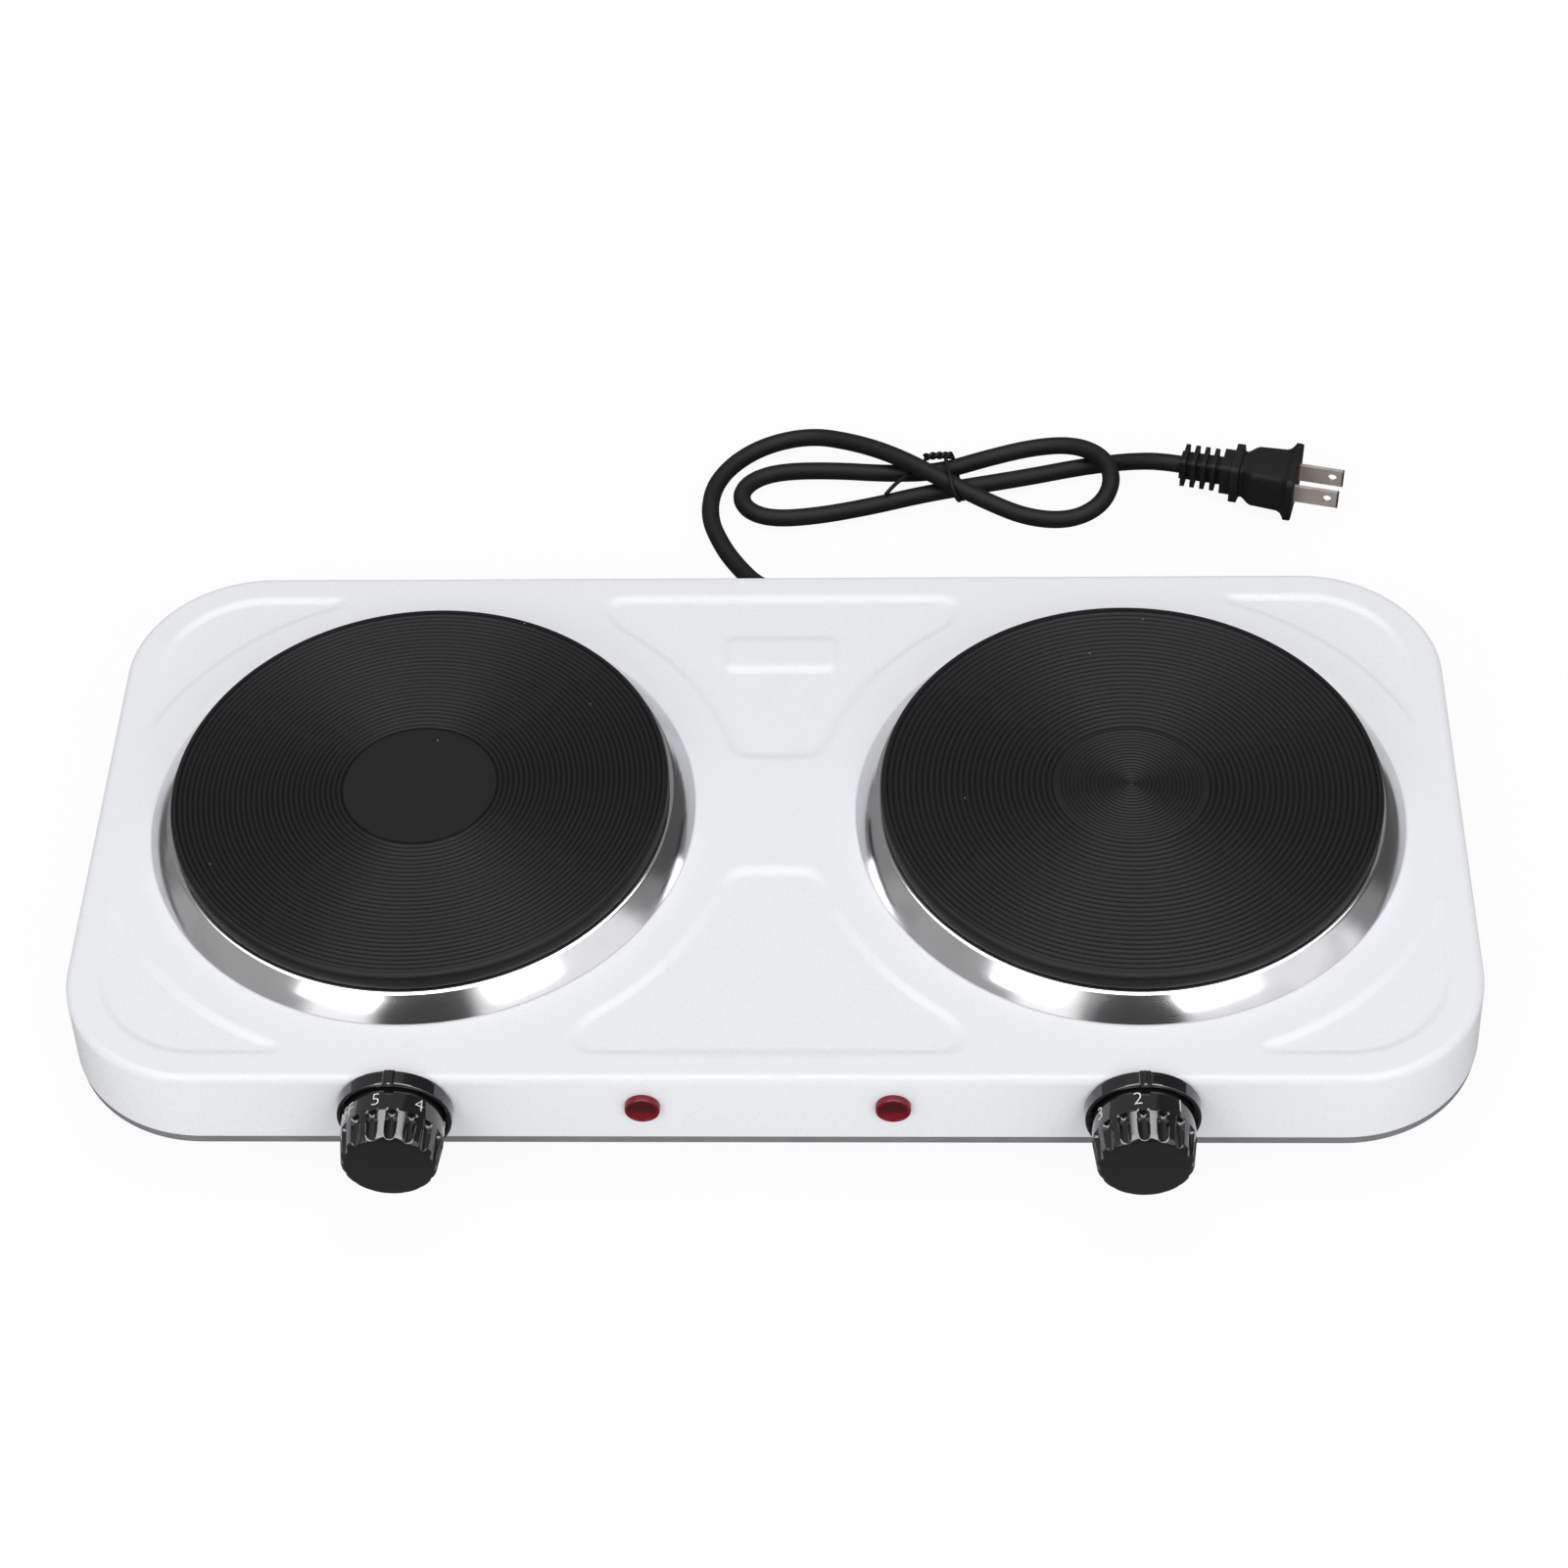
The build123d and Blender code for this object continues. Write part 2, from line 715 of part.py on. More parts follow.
def power_cord():
    """The mains cord: one tube of straight runs and tangent arcs, laid in a tied figure of eight."""
    radii = corner_radii(cord_route)
    path = FilletPolyline(*cord_route, radius=radii)
    cord = sweep(path.location_at(0) * Circle(cord_diameter / 2), path=path)
    section = math.pi * (cord_diameter / 2) ** 2
    print("cord bend radii", [round(radius, 1) for radius in radii])
    print("cord length", round(path.length, 1))
    print("cord volume over section times length", round(cord.volume / (section * path.length), 4))
    print("cord least gap to itself", round(least_gap(path, 500, 8 * cord_diameter), 2))
    return cord


def cord_tie():
    """Two turns of flat tie round the crossing, with its two loose ends lying on the strands."""
    half = cord_diameter / 2 + tie_gap
    places = [(y + slant, z) for y, z, spread in tie_strands for slant in (-spread, spread)]
    circles = [Pos(y, z) * Circle(half) for y, z in places]
    inner = make_hull([circle.edge() for circle in circles])
    outer = offset(inner, tie_sheet)
    turn = extrude(Plane.YZ * (outer - inner), tie_width)
    turns_of_tie = [Pos(tie_x + x, 0, 0) * turn for x in (-tie_width - tie_step, tie_step)]
    ends = [tube(points, core_bend, tie_width / 2) for points in tie_ends]
    return turns_of_tie + ends


def plug_frame():
    """Place of the plug: its local Z runs from the cord to the blades, its local X across the blades."""
    run = Vector(*cord_route[-1]) - Vector(*cord_route[-2])
    turn = math.degrees(math.atan2(run.Y, run.X))
    return Pos(*plug_place) * Rot(0, 0, turn) * Rot(0, 90, 0) * Rot(0, 0, 90 + plug_roll)


def plug_outline(size):
    """A rounded oblong section of the plug."""
    width, height = size
    return RectangleRounded(width, height, plug_rounding * height)


def plug_length(size, low, high):
    """A straight length of the plug."""
    return Pos(0, 0, low) * extrude(plug_outline(size), high - low)


def plug_body():
    """The moulded plug: ribbed strain relief, collar, waisted grip and a flange at the blades."""
    plug = plug_length(plug_sleeve, 0, plug_waist_start)
    for step in range(plug_ribs):
        low = plug_rib_start + step * plug_rib_pitch
        plug += plug_length(plug_rib, low, low + plug_rib_length)
    plug += plug_length(plug_collar, plug_collar_start, plug_waist_start)
    plug += plug_length(plug_ring, plug_ring_start, plug_waist_start)
    stations = [
        (plug_waist, plug_waist_start), (plug_shoulder, plug_shoulder_start),
        (plug_grip, plug_grip_end), (plug_flange, plug_flange_start),
    ]
    plug += loft([Pos(0, 0, place) * plug_outline(size) for size, place in stations], ruled=True)
    return plug + plug_length(plug_flange, plug_flange_start, plug_face)


def plug_blades():
    """The two flat blades with their holes."""
    blade = slab(blade_sheet, blade_width, plug_face, plug_face + blade_length)
    hole = Rot(0, 90, 0) * Cylinder(blade_hole, 4 * blade_sheet)
    blade -= Pos(0, 0, plug_face + blade_length - blade_hole_inset) * hole
    return [Pos(x, 0) * blade for x in (-blade_pitch / 2, blade_pitch / 2)]


def moved(place, shapes):
    """A group of solids at a place."""
    return Compound([place * shape for shape in shapes])


def side_parts(name):
    """Every piece that the left and the right side have alike."""
    side = sides[name]
    plate = Pos(side * plate_offset, 0, body_top)
    control = on_front(side * plate_offset, control_height)
    lamp = on_front(side * lamp_x, lamp_height)
    parts = {
        "hotplate": plate * hotplate(centre_disc_radius if name == "left" else 0),
        "heater_ring": plate * heater_ring(),
        "element_cover": plate * element_cover(),
        "trim_ring": plate * trim_ring(),
        "plate_stud": plate * plate_stud(),
        "clamp_bridge": plate * clamp_bridge(),
        "clamp_washer": plate * clamp_washer(),
        "clamp_nut": plate * clamp_nut(),
        "element_terminal": plate * element_terminal(),
        "element_tabs": moved(plate, element_tabs()),
        "regulator": control * regulator(),
        "regulator_tabs": moved(control, regulator_tabs()),
        "regulator_shaft": control * shaft(turns[name]),
        "bezel": control * bezel(),
        "bezel_screws": moved(control, bezel_screws()),
        "knob": control * knob(turns[name]),
        "lamp_lens": lamp * lamp_lens(),
        "lamp_bulb": lamp * lamp_bulb(),
        "lamp_clip": lamp * lamp_clip(),
        "leads": moved(Pos(0, 0, 0), side_leads(side)),
    }
    return {f"{name}_{piece}": shape for piece, shape in parts.items()}


def common_parts():
    """The body, its feet and the supply."""
    rear = [Pos(x, foot_y) * lug() for x in (-foot_x, foot_x)]
    parts = {
        "top_shell": top_shell(),
        "base_plate": base_plate(),
        "shell_lugs": Compound(rear + [mirror(strap, Plane.XZ) for strap in rear]),
        "foot_screws": Compound([Pos(x, y) * foot_screw() for x, y in foot_places()]),
        "terminal_block": terminal_block(),
        "block_screws": Compound(block_screws()),
        "supply_leads": Compound(supply_leads()),
        "cord_gland": on_rear(0, gland_height) * cord_gland(),
        "power_cord": power_cord(),
        "cord_tie": Compound(cord_tie()),
        "plug_body": plug_frame() * plug_body(),
        "plug_blades": moved(plug_frame(), plug_blades()),
    }
    for (x, y), corner in zip(foot_places(), ("front_left", "rear_left", "front_right", "rear_right")):
        parts[f"{corner}_foot"] = Pos(x, y) * foot()
    return parts


os.makedirs("parts", exist_ok=True)
nodes = {**common_parts(), **side_parts("left"), **side_parts("right")}
whole = Pos(0, (knob_front - gland_reach) / 2, 0)
for node, shape in nodes.items():
    export_step(whole * shape, f"parts/{node}.step")
print(len(nodes), "nodes")
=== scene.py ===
import json
import math

import bmesh
import bpy
import numpy as np
from mathutils import Matrix, Vector


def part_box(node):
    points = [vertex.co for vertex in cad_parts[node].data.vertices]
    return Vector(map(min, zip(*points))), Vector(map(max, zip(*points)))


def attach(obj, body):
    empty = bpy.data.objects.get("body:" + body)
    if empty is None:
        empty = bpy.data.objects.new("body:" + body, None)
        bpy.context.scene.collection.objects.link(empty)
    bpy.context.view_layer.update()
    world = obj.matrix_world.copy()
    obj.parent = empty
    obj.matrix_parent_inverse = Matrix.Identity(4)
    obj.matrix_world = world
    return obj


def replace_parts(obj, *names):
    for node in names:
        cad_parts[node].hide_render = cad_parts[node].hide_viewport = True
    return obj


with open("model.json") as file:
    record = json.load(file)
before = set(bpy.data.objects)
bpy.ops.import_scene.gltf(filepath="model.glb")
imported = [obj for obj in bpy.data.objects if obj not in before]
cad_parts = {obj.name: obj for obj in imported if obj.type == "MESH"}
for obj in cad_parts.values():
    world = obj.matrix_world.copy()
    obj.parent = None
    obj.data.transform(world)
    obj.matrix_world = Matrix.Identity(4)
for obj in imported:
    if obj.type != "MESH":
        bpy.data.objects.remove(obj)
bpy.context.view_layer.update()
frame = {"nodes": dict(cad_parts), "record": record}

# Looks of a double electric hot plate, in metres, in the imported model's frame: X right, Y back, Z up.

packed_nodes = frame["nodes"]
mm = 0.001
upright = (0, 0, 1)
merge_distance = 0.001 * mm
plain_sharp = 40.0

# Camera at the photograph's angle
look_at = Vector((2.38, 18.17, 41.5)) * mm
camera_distance = 1125.06 * mm
camera_azimuth = 3.2104
camera_elevation = 47.6004
camera_roll = math.radians(-2.5012)
camera_lens = 82.197
camera_sensor = 36.0

# Light: the even room, and soft boxes as (azimuth, elevation, distance, size, power, seen in shiny surfaces)
room_light = 0.56
soft_boxes = {
    "front_left_box": (-36, 36, 1.7, 0.7, 5.6, True),
    "front_right_box": (36, 36, 1.7, 0.7, 5.6, True),
    "top_box": (180, 81, 1.7, 0.45, 3.6, False),
    "rear_box": (172, 62, 1.8, 1.2, 2.0, False),
}

# Floor, and what shiny surfaces see: screens as (from, to, strength) by bearing in degrees, and one overhead
# with its sides as tangents of the angle off the zenith
floor_half = 6.0
floor_tone = (0.95, 0.95, 0.95, 1)
floor_roughness = 0.9
floor_near = 0.25
floor_far = 0.6
floor_whitening = 0.93
floor_gleam = 0.13
dim_wall = 0.3
screen_edge = 4.0
room_screens = [(-105, -42, 0.45), (-42, -18, 1.3), (-18, 20, 0.07), (20, 88, 1.1), (104, 150, 0.1)]
overhead_light = 4.5
overhead_side = 0.68
overhead_front = 0.75
overhead_rear = 0.49
overhead_edge = 0.03
overhead_least_rise = 0.5
white = (1, 1, 1, 1)

# Body, from the frame
shell_low, shell_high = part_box("top_shell")
body_half_length = (shell_high.x - shell_low.x) / 2
body_half_width = (shell_high.y - shell_low.y) / 2
middle_line = (shell_high.y + shell_low.y) / 2
front_wall = shell_low.y
body_top = shell_high.z
body_bottom = shell_low.z
plate_low, plate_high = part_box("left_hotplate")
plate_radius = (plate_high.x - plate_low.x) / 2
plate_offset = -(plate_high.x + plate_low.x) / 2
plate_rise = plate_high.z - body_top
ring_low, ring_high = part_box("left_trim_ring")
ring_radius = (ring_high.x - ring_low.x) / 2
ring_height = ring_high.z - body_top
sides = {"left": -1, "right": 1}
finish_ends = {"left": "", "right": "_right"}

# Pressed shell
body_corner = 44 * mm
top_edge = 2.6 * mm
wall_draft = 0.9 * mm
wall_top_sheet = 0.3 * mm
sheet = 1 * mm
panel_depth = 1.0 * mm
panel_slope = 3.0 * mm
panel_margin = 10.3 * mm
panel_inner = 22.4 * mm
panel_half_width = 59.0 * mm
panel_corner = 7.0 * mm
panel_arc = 97.7 * mm
crescent_arc = 97.5 * mm
crescent_start = 34.0 * mm
crescent_end = 35.0 * mm
crescent_corner = 3.0 * mm
rib_half_length = 18.0 * mm
rib_half_width = 7.0 * mm
rib_place = 69.5 * mm
rib_corner = 3.0 * mm
rib_slope = 2.4 * mm
shell_hole = 79 * mm
base_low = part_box("base_plate")[0].z
rim_inset = 0.3 * mm
rim_edge = 0.5 * mm
rim_hem = 4 * mm
rim_drop = 0.1 * mm
rim_seat = 0.05 * mm
columns_of_corner = 132
columns_of_arc = 84
columns_of_middle = 52
rows_of_top = 78
rows_of_edge = 8
rows_of_wall = 4
search_steps = 60
shell_sharp = 50.0

# Cast iron plates
plate_rounding = 1.9 * mm
plate_lower_rounding = 0.9 * mm
plate_seat = 7.4 * mm
skirt_radius = 73.5 * mm
plate_depth = 5 * mm
channel_radius = 66 * mm
channel_roof = 4.1 * mm
boss_radius = 14 * mm
groove_end = 75.3 * mm
groove_depth = 0.5 * mm
groove_land = 0.3 * mm
left_disc = 24.0 * mm
left_disc_depth = 0.4 * mm
left_groove_pitch = 1.62 * mm
right_fine_end = 22.8 * mm
right_fine_pitch = 1.26 * mm
right_groove_start = 24.4 * mm
right_ring_depth = 0.15 * mm
right_groove_pitch = 1.82 * mm
right_fine_depth = 0.25 * mm
rows_of_groove = 8
plate_columns = 192
plate_sharp = 60.0

# Polished rings
ring_crest = 1.4 * mm
ring_shoulder = 2.0 * mm
ring_edge = 0.4 * mm
ring_foot = 1.5 * mm
ring_undercut = 0.35 * mm
ring_bulge = 0.25 * mm
ring_lip = 74.0 * mm
ring_sheet = 0.8 * mm
ring_columns = 256
rows_of_band = 12

# Knobs, bezels and lamps
knob_low, knob_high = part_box("left_knob")
bezel_low, bezel_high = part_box("left_bezel")
control_height = (knob_low.z + knob_high.z) / 2
knob_radius = (knob_high.x - knob_low.x) / 2
knob_front = front_wall - knob_low.y
knob_back = 2.5 * mm
knob_band = 9.2 * mm
knob_taper = 1.2 * mm
knob_wall = 2.0 * mm
knob_face = 4.0 * mm
knob_dome = 0.5 * mm
knob_rounding = 2.2 * mm
knob_edge = 0.3 * mm
knob_sharp = 70.0
rows_of_flank = 44
rows_of_face = 10
steps_of_rounding = 10
hub_radius = 5.2 * mm
hub_back = 1.6 * mm
hub_bore = 3.05 * mm
hub_depth = 15.7 * mm
flutes = 16
columns_of_flute = 24
flute_radius = 1.75 * mm
flute_depth = 2.0 * mm
flute_entry = 1.0 * mm
flute_phase = 2.5
flute_softness = 0.2 * mm
band_bend = 0.8 * mm
knob_turns = {"left": 297.0, "right": 151.0}
dial_marks = ["OFF", "5", "4", "3", "2", "1"]
dial_step = 50.0
dial_size = 6.2 * mm
dial_places = {"left": 8.1 * mm, "right": 7.6 * mm}
dial_half_thickness = 0.06 * mm
dial_lift = 0.03 * mm
dial_thinning = 0.11 * mm
dial_slice = 0.5 * mm
dial_resolution = 4
bezel_radius = (bezel_high.x - bezel_low.x) / 2
bezel_height = 4.0 * mm
bezel_wall = 1.6 * mm
bezel_floor = 1.2 * mm
bezel_draft = 0.3 * mm
bezel_rounding = 0.5 * mm
bezel_band = 0.85
bezel_neck = 1.0 * mm
bezel_step = 0.5 * mm
bezel_columns = 288
bezel_steps = 5
marker_width = 3.5 * mm
marker_rise = 0.6 * mm
marker_softness = 0.4 * mm
marker_groove_place = 0.6 * mm
marker_groove_width = 0.35 * mm
marker_groove_share = 0.5
marker_clearance = 0.1 * mm
lamp_low, lamp_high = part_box("right_lamp_lens")
lamp_x = (lamp_low.x + lamp_high.x) / 2
lamp_height = (lamp_low.z + lamp_high.z) / 2
lamp_radius = (lamp_high.x - lamp_low.x) / 2
lamp_sink = 0.5 * mm
lamp_rise = front_wall - lamp_low.y - lamp_sink
lamp_neck = 3.9 * mm
lamp_depth = 9.0 * mm
lamp_seat = 1.0 * mm
lamp_draft = 0.15 * mm
lamp_ring = 4.7 * mm
lamp_floor = 4.3 * mm
lamp_dish = 0.35 * mm
lamp_rounding = 0.45 * mm
lamp_columns = 96

# Cord, on the same points as the solid's route, in millimetres
cord_diameter = 6.2 * mm
cord_shift = 6.5
cord_order = 3
cord_steps = 8
cord_round_steps = 6
cord_route = [
    (0, 115.5, 22.6), (0, 118.6, 22.6), (-0.6, 121.9, 19.8), (-2.4, 126, 14.9), (-6, 131.2, 9.4),
    (-11, 137.8, 5.5), (-16.6, 146, 4), (-23.6, 158, 3.5), (-29.6, 175, 3.2), (-27.2, 194, 3.2),
    (-14, 209.3, 3.6), (5, 214.6, 5.2),
    (22, 206.5, 9), (37, 196, 12), (53, 184, 11.9), (68, 174.5, 10.2), (83, 168, 7.8),
    (98, 167, 7.4), (109, 173, 9), (113.4, 184, 11), (110.6, 195.5, 11), (101, 204, 9.4),
    (87, 206.5, 6.4), (70, 203, 4.4), (52, 194.8, 4.9), (34, 194.6, 4.6), (14, 197.8, 3.4),
    (-4, 197.6, 3.2), (-14, 193.4, 3.2), (-18.6, 185.8, 3.2), (-16, 177.6, 3.2), (-7, 173, 3.2),
    (9, 174.4, 3.2), (28, 178.8, 3.6), (48, 184, 4.9), (68, 189, 4.5), (85, 194.2, 3.3),
    (100, 198.4, 3.2), (110, 200.2, 3.4), (119.5, 198.6, 6.2), (129.72, 194.97, 9.75), (137.5, 193.1, 9.75),
]

# Plug: (place along its axis, width, height) of its sections in millimetres, each step a short slope
plug_start = Vector((137.5, 199.6, 9.75)) * mm
plug_axis = Vector((0.9723, -0.2337, 0))
plug_roll = math.radians(-6.5)
plug_ribs = 4
plug_rib_start = 0.6
plug_rib_pitch = 3.5
plug_rib_length = 2.0
plug_step = 0.25
plug_sleeve = (7.8, 7.6)
plug_rib = (12.0, 11.4)
plug_collar = (12.8, 12.0)
plug_ring = (17.4, 15.0)
plug_face = 41.3
plug_stations = [
    (14.6, *plug_sleeve), (14.6 + plug_step, *plug_collar), (18.4, *plug_collar),
    (18.4 + plug_step, *plug_ring), (21.6 - plug_step, *plug_ring), (21.9, 13.4, 12.4), (22.6, 13.0, 12.0),
    (23.4, 13.8, 12.4), (25.4, 17.6, 13.6), (26.5, 18.8, 14.0), (36.0, 20.2, 14.2), (37.4, 22.0, 14.6),
    (38.3, 24.6, 15.6), (38.7, 26.0, 16.8), (38.9, 26.4, 17.0), (40.9, 26.4, 17.0), (plug_face, 25.8, 16.4),
]
plug_corner = 0.14
plug_sharp = 30.0
blade_length = 15.5
blade_tip = (plug_face + blade_length) * mm

# Tie: a loop of wire round the crossing, its twisted end and its free end, by points in millimetres
tie_radius = 0.72 * mm
tie_twist_radius = 0.72 * mm
tie_twists = 2.25
tie_steps = 8
tie_twist_steps = 14
tie_columns = 14
tie_level = (1, 0, 0.2)
tie_loop = [
    (56.2, 206.1, 8.8), (54.7, 204.6, 9.1), (54.8, 199.2, 11.2), (55.1, 193.4, 14.4), (55.7, 188.6, 15.5),
    (56.7, 184.2, 13.6), (58.1, 182.7, 10.3), (59.2, 184.0, 7.5), (60.0, 187.4, 6.4), (60.6, 189.6, 3.8),
    (60.6, 191.0, 1.5), (60.2, 194.0, 0.85), (59.4, 199.0, 0.9), (58.6, 205.2, 0.85), (57.6, 208.3, 3.0),
    (57.0, 208.0, 6.2), (56.4, 206.6, 8.5), (55.2, 205.9, 9.0),
]
tie_tail = [(56.6, 206.0, 8.8), (54.0, 205.9, 8.9), (50.6, 205.6, 9.1), (47.0, 204.9, 9.0)]
tie_end = [(44.5, 198.6, 8.0), (41.0, 196.4, 8.2), (36.8, 191.5, 8.6), (33.3, 186.6, 8.2)]


def forward(operation):
    """An operator of Value, with the value on its left."""
    return lambda self, other: self.nodes.maths(operation, self, other)


def reflected(operation):
    """The same operator, with the value on its right."""
    return lambda self, other: self.nodes.maths(operation, other, self)


class Value:
    """An output of a node; arithmetic on it adds Math nodes, so numbers and values mix in one expression."""

    def __init__(self, nodes, socket):
        self.nodes = nodes
        self.socket = socket

    __add__, __radd__ = forward("ADD"), reflected("ADD")
    __sub__, __rsub__ = forward("SUBTRACT"), reflected("SUBTRACT")
    __mul__, __rmul__ = forward("MULTIPLY"), reflected("MULTIPLY")
    __truediv__, __rtruediv__ = forward("DIVIDE"), reflected("DIVIDE")
    __gt__, __lt__ = forward("GREATER_THAN"), forward("LESS_THAN")


class Nodes:
    """A node tree that grows one node at a time."""

    def __init__(self, tree):
        self.tree = tree

    def add(self, kind, settings=None, inputs=None, output=0):
        """Adds a node with its settings and its sockets' values or links; returns one of its outputs."""
        made = self.tree.nodes.new(kind)
        for name, setting in (settings or {}).items():
            setattr(made, name, setting)
        for name, value in (inputs or {}).items():
            self.feed(made.inputs[name], value)
        return Value(self, made.outputs[output])

    def feed(self, socket, value):
        """Links a value to a socket, or sets it."""
        if isinstance(value, Value):
            self.tree.links.new(value.socket, socket)
        else:
            socket.default_value = value

    def maths(self, operation, first, second):
        """A Math node on two numbers or values."""
        return self.add("ShaderNodeMath", {"operation": operation}, {0: first, 1: second})

    def vector(self, operation, first, second=(0, 0, 0), output=0):
        """A Vector Math node; a length or a dot product is its output Value."""
        return self.add("ShaderNodeVectorMath", {"operation": operation}, {0: first, 1: second}, output)

    def place(self):
        """The surface's own place, in metres."""
        return self.add("ShaderNodeTexCoord", output="Object")

    def noise(self, scale, detail=2.0, vector=None):
        """Noise from 0 to 1 with features of about 1 / scale metres."""
        inputs = {"Vector": vector or self.place(), "Scale": scale, "Detail": detail}
        return self.add("ShaderNodeTexNoise", None, inputs, "Fac")

    def streaks(self):
        """Rolling streaks: noise drawn out along X."""
        return self.noise(2.0, 3.0, self.vector("MULTIPLY", self.place(), (40, 400, 400)))

    def off_axis(self, centre, across):
        """Distance from an axis through a centre; across is 1 in the directions across the axis."""
        away = self.vector("SUBTRACT", self.place(), centre)
        return self.vector("LENGTH", self.vector("MULTIPLY", away, across), output="Value")

    def blend(self, factor, first, second):
        """A colour between two colours."""
        settings = {"data_type": "RGBA"}
        return self.add("ShaderNodeMix", settings, {"Factor": factor, 6: first, 7: second}, 2)

    def smooth(self, value, low, high):
        """0 below one value and 1 above another, with a smooth step between."""
        settings = {"interpolation_type": "SMOOTHSTEP"}
        return self.add("ShaderNodeMapRange", settings, {"Value": value, "From Min": low, "From Max": high})

    def within(self, value, low, high, edge):
        """1 between two values and 0 outside them, with smooth steps."""
        return self.smooth(value, low - edge, low + edge) - self.smooth(value, high - edge, high + edge)

    def ray(self, kind):
        """1 for light rays of a kind, 0 for others."""
        return self.add("ShaderNodeLightPath", output=f"Is {kind} Ray")

    def surface(self, colour, roughness, height, depth):
        """Sockets of a finish: colour, roughness and a normal tilted by a height in units of a depth."""
        normal = self.add("ShaderNodeBump", None, {"Height": height, "Distance": depth, "Strength": 1.0})
        return {"Base Color": colour, "Roughness": roughness, "Normal": normal}


def srgb(red, green, blue):
    """A colour written from 0 to 255, as linear light."""
    share = np.array([red, green, blue]) / 255
    linear = np.where(share <= 0.04045, share / 12.92, ((share + 0.055) / 1.055) ** 2.4)
    return (*linear.tolist(), 1.0)


def material(name, constants, look, *values):
    """A Principled material: its sockets take the constants and what look(nodes, *values) gives."""
    made = bpy.data.materials.new(name)
    made.use_nodes = True
    nodes = Nodes(made.node_tree)
    shader = made.node_tree.nodes["Principled BSDF"]
    for socket, value in {**constants, **look(nodes, *values)}.items():
        nodes.feed(shader.inputs[socket], value)
    return made


def white_enamel(nodes):
    """Baked white enamel: a faint orange peel and a very fine grain in tint and gloss."""
    grain = nodes.noise(scale=1400.0, detail=1.0)
    peel = nodes.noise(scale=420.0, detail=2.0)
    colour = nodes.blend(grain, srgb(233, 235, 239), srgb(243, 244, 248))
    return nodes.surface(colour, 0.26 + 0.04 * grain, peel, 0.012 * mm)


def grey_paint(nodes):
    """Grey painted sheet of the base."""
    mottle = nodes.noise(scale=120.0, detail=4.0)
    colour = nodes.blend(mottle, srgb(116, 118, 119), srgb(136, 138, 139))
    roughness = 0.42 + 0.16 * nodes.noise(scale=300.0)
    return nodes.surface(colour, roughness, nodes.noise(scale=900.0), 0.02 * mm)


def cast_iron(nodes):
    """Black coated iron: dull, finely grained, with a few pale dust specks."""
    grain = nodes.noise(scale=700.0, detail=4.0)
    patch = nodes.noise(scale=22.0, detail=2.0)
    settings = {"feature": "F1"}
    inputs = {"Vector": nodes.place(), "Scale": 170.0}
    distance = nodes.add("ShaderNodeTexVoronoi", settings, inputs, "Distance")
    kind = nodes.add("ShaderNodeTexVoronoi", settings, inputs, "Color")
    chance = nodes.add("ShaderNodeSeparateColor", None, {"Color": kind}, "Red")
    speck = (distance < 0.05) * (chance > 0.86)
    dark = nodes.blend(patch, srgb(22, 22, 23), srgb(28, 28, 29))
    colour = nodes.blend(speck, dark, srgb(128, 128, 128))
    return nodes.surface(colour, 0.38 + 0.12 * grain, grain, 0.03 * mm)


def polished_steel(nodes, centre_x):
    """Spun and polished sheet: fine rings about the plate's axis and a few rubbed patches."""
    radius = nodes.off_axis((centre_x, middle_line, 0), (1, 1, 0))
    along = nodes.add("ShaderNodeCombineXYZ", None, {"X": radius, "Y": 0.0, "Z": 0.0})
    rings = nodes.noise(2600.0, 2.0, along)
    rubbed = nodes.smooth(nodes.noise(scale=45.0, detail=3.0), 0.45, 0.75)
    colour = nodes.blend(rubbed, srgb(214, 214, 216), srgb(198, 198, 200))
    return nodes.surface(colour, 0.1 + 0.05 * rings + 0.08 * rubbed, rings, 0.002 * mm)


def black_plastic(nodes):
    """Glossy black moulding with slight flow marks."""
    flow = nodes.noise(scale=140.0, detail=3.0)
    colour = nodes.blend(flow, srgb(17, 17, 18), srgb(24, 24, 25))
    return nodes.surface(colour, 0.09 + 0.04 * flow, nodes.noise(scale=520.0), 0.003 * mm)


def soft_black(nodes, light, dark, grain_scale):
    """Satin black rubber or soft plastic with a fine grain."""
    grain = nodes.noise(grain_scale, 3.0)
    wear = nodes.smooth(nodes.noise(scale=35.0, detail=2.0), 0.35, 0.75)
    return nodes.surface(nodes.blend(wear, dark, light), 0.46 + 0.14 * grain, grain, 0.02 * mm)


def red_lens(nodes, centre_x):
    """Red lens: bright red at its rim; in the dish a painted glow below and painted shade above the middle,
    for light through the lens and the lamp's hollow behind it.
    """
    centre = (centre_x, front_wall, lamp_height)
    spread = nodes.off_axis(centre, (1, 0, 1))
    upward = nodes.add("ShaderNodeSeparateXYZ", None, {0: nodes.place()}, "Z") - lamp_height
    swirl = nodes.noise(scale=400.0, detail=2.0)
    # Painted light in the dish: painted shade above the middle for the lamp's hollow behind the lens, and a
    # painted glow of light through the lens below
    painted_shade_above = nodes.smooth(upward + mm * swirl, -2.6 * mm, 1.4 * mm)
    middle = nodes.blend(painted_shade_above, srgb(120, 20, 30), srgb(70, 16, 22))
    rim = nodes.smooth(spread, lamp_floor - 0.2 * mm, lamp_ring)
    colour = nodes.blend(rim, middle, srgb(122, 22, 34))
    return nodes.surface(colour, 0.08 + 0.08 * swirl, swirl, 0.006 * mm)


def plain_metal(nodes, light, dark, roughness):
    """Plated or bare metal with rolling streaks."""
    streak = nodes.streaks()
    return nodes.surface(nodes.blend(streak, dark, light), roughness + 0.15 * streak, streak, 0.01 * mm)


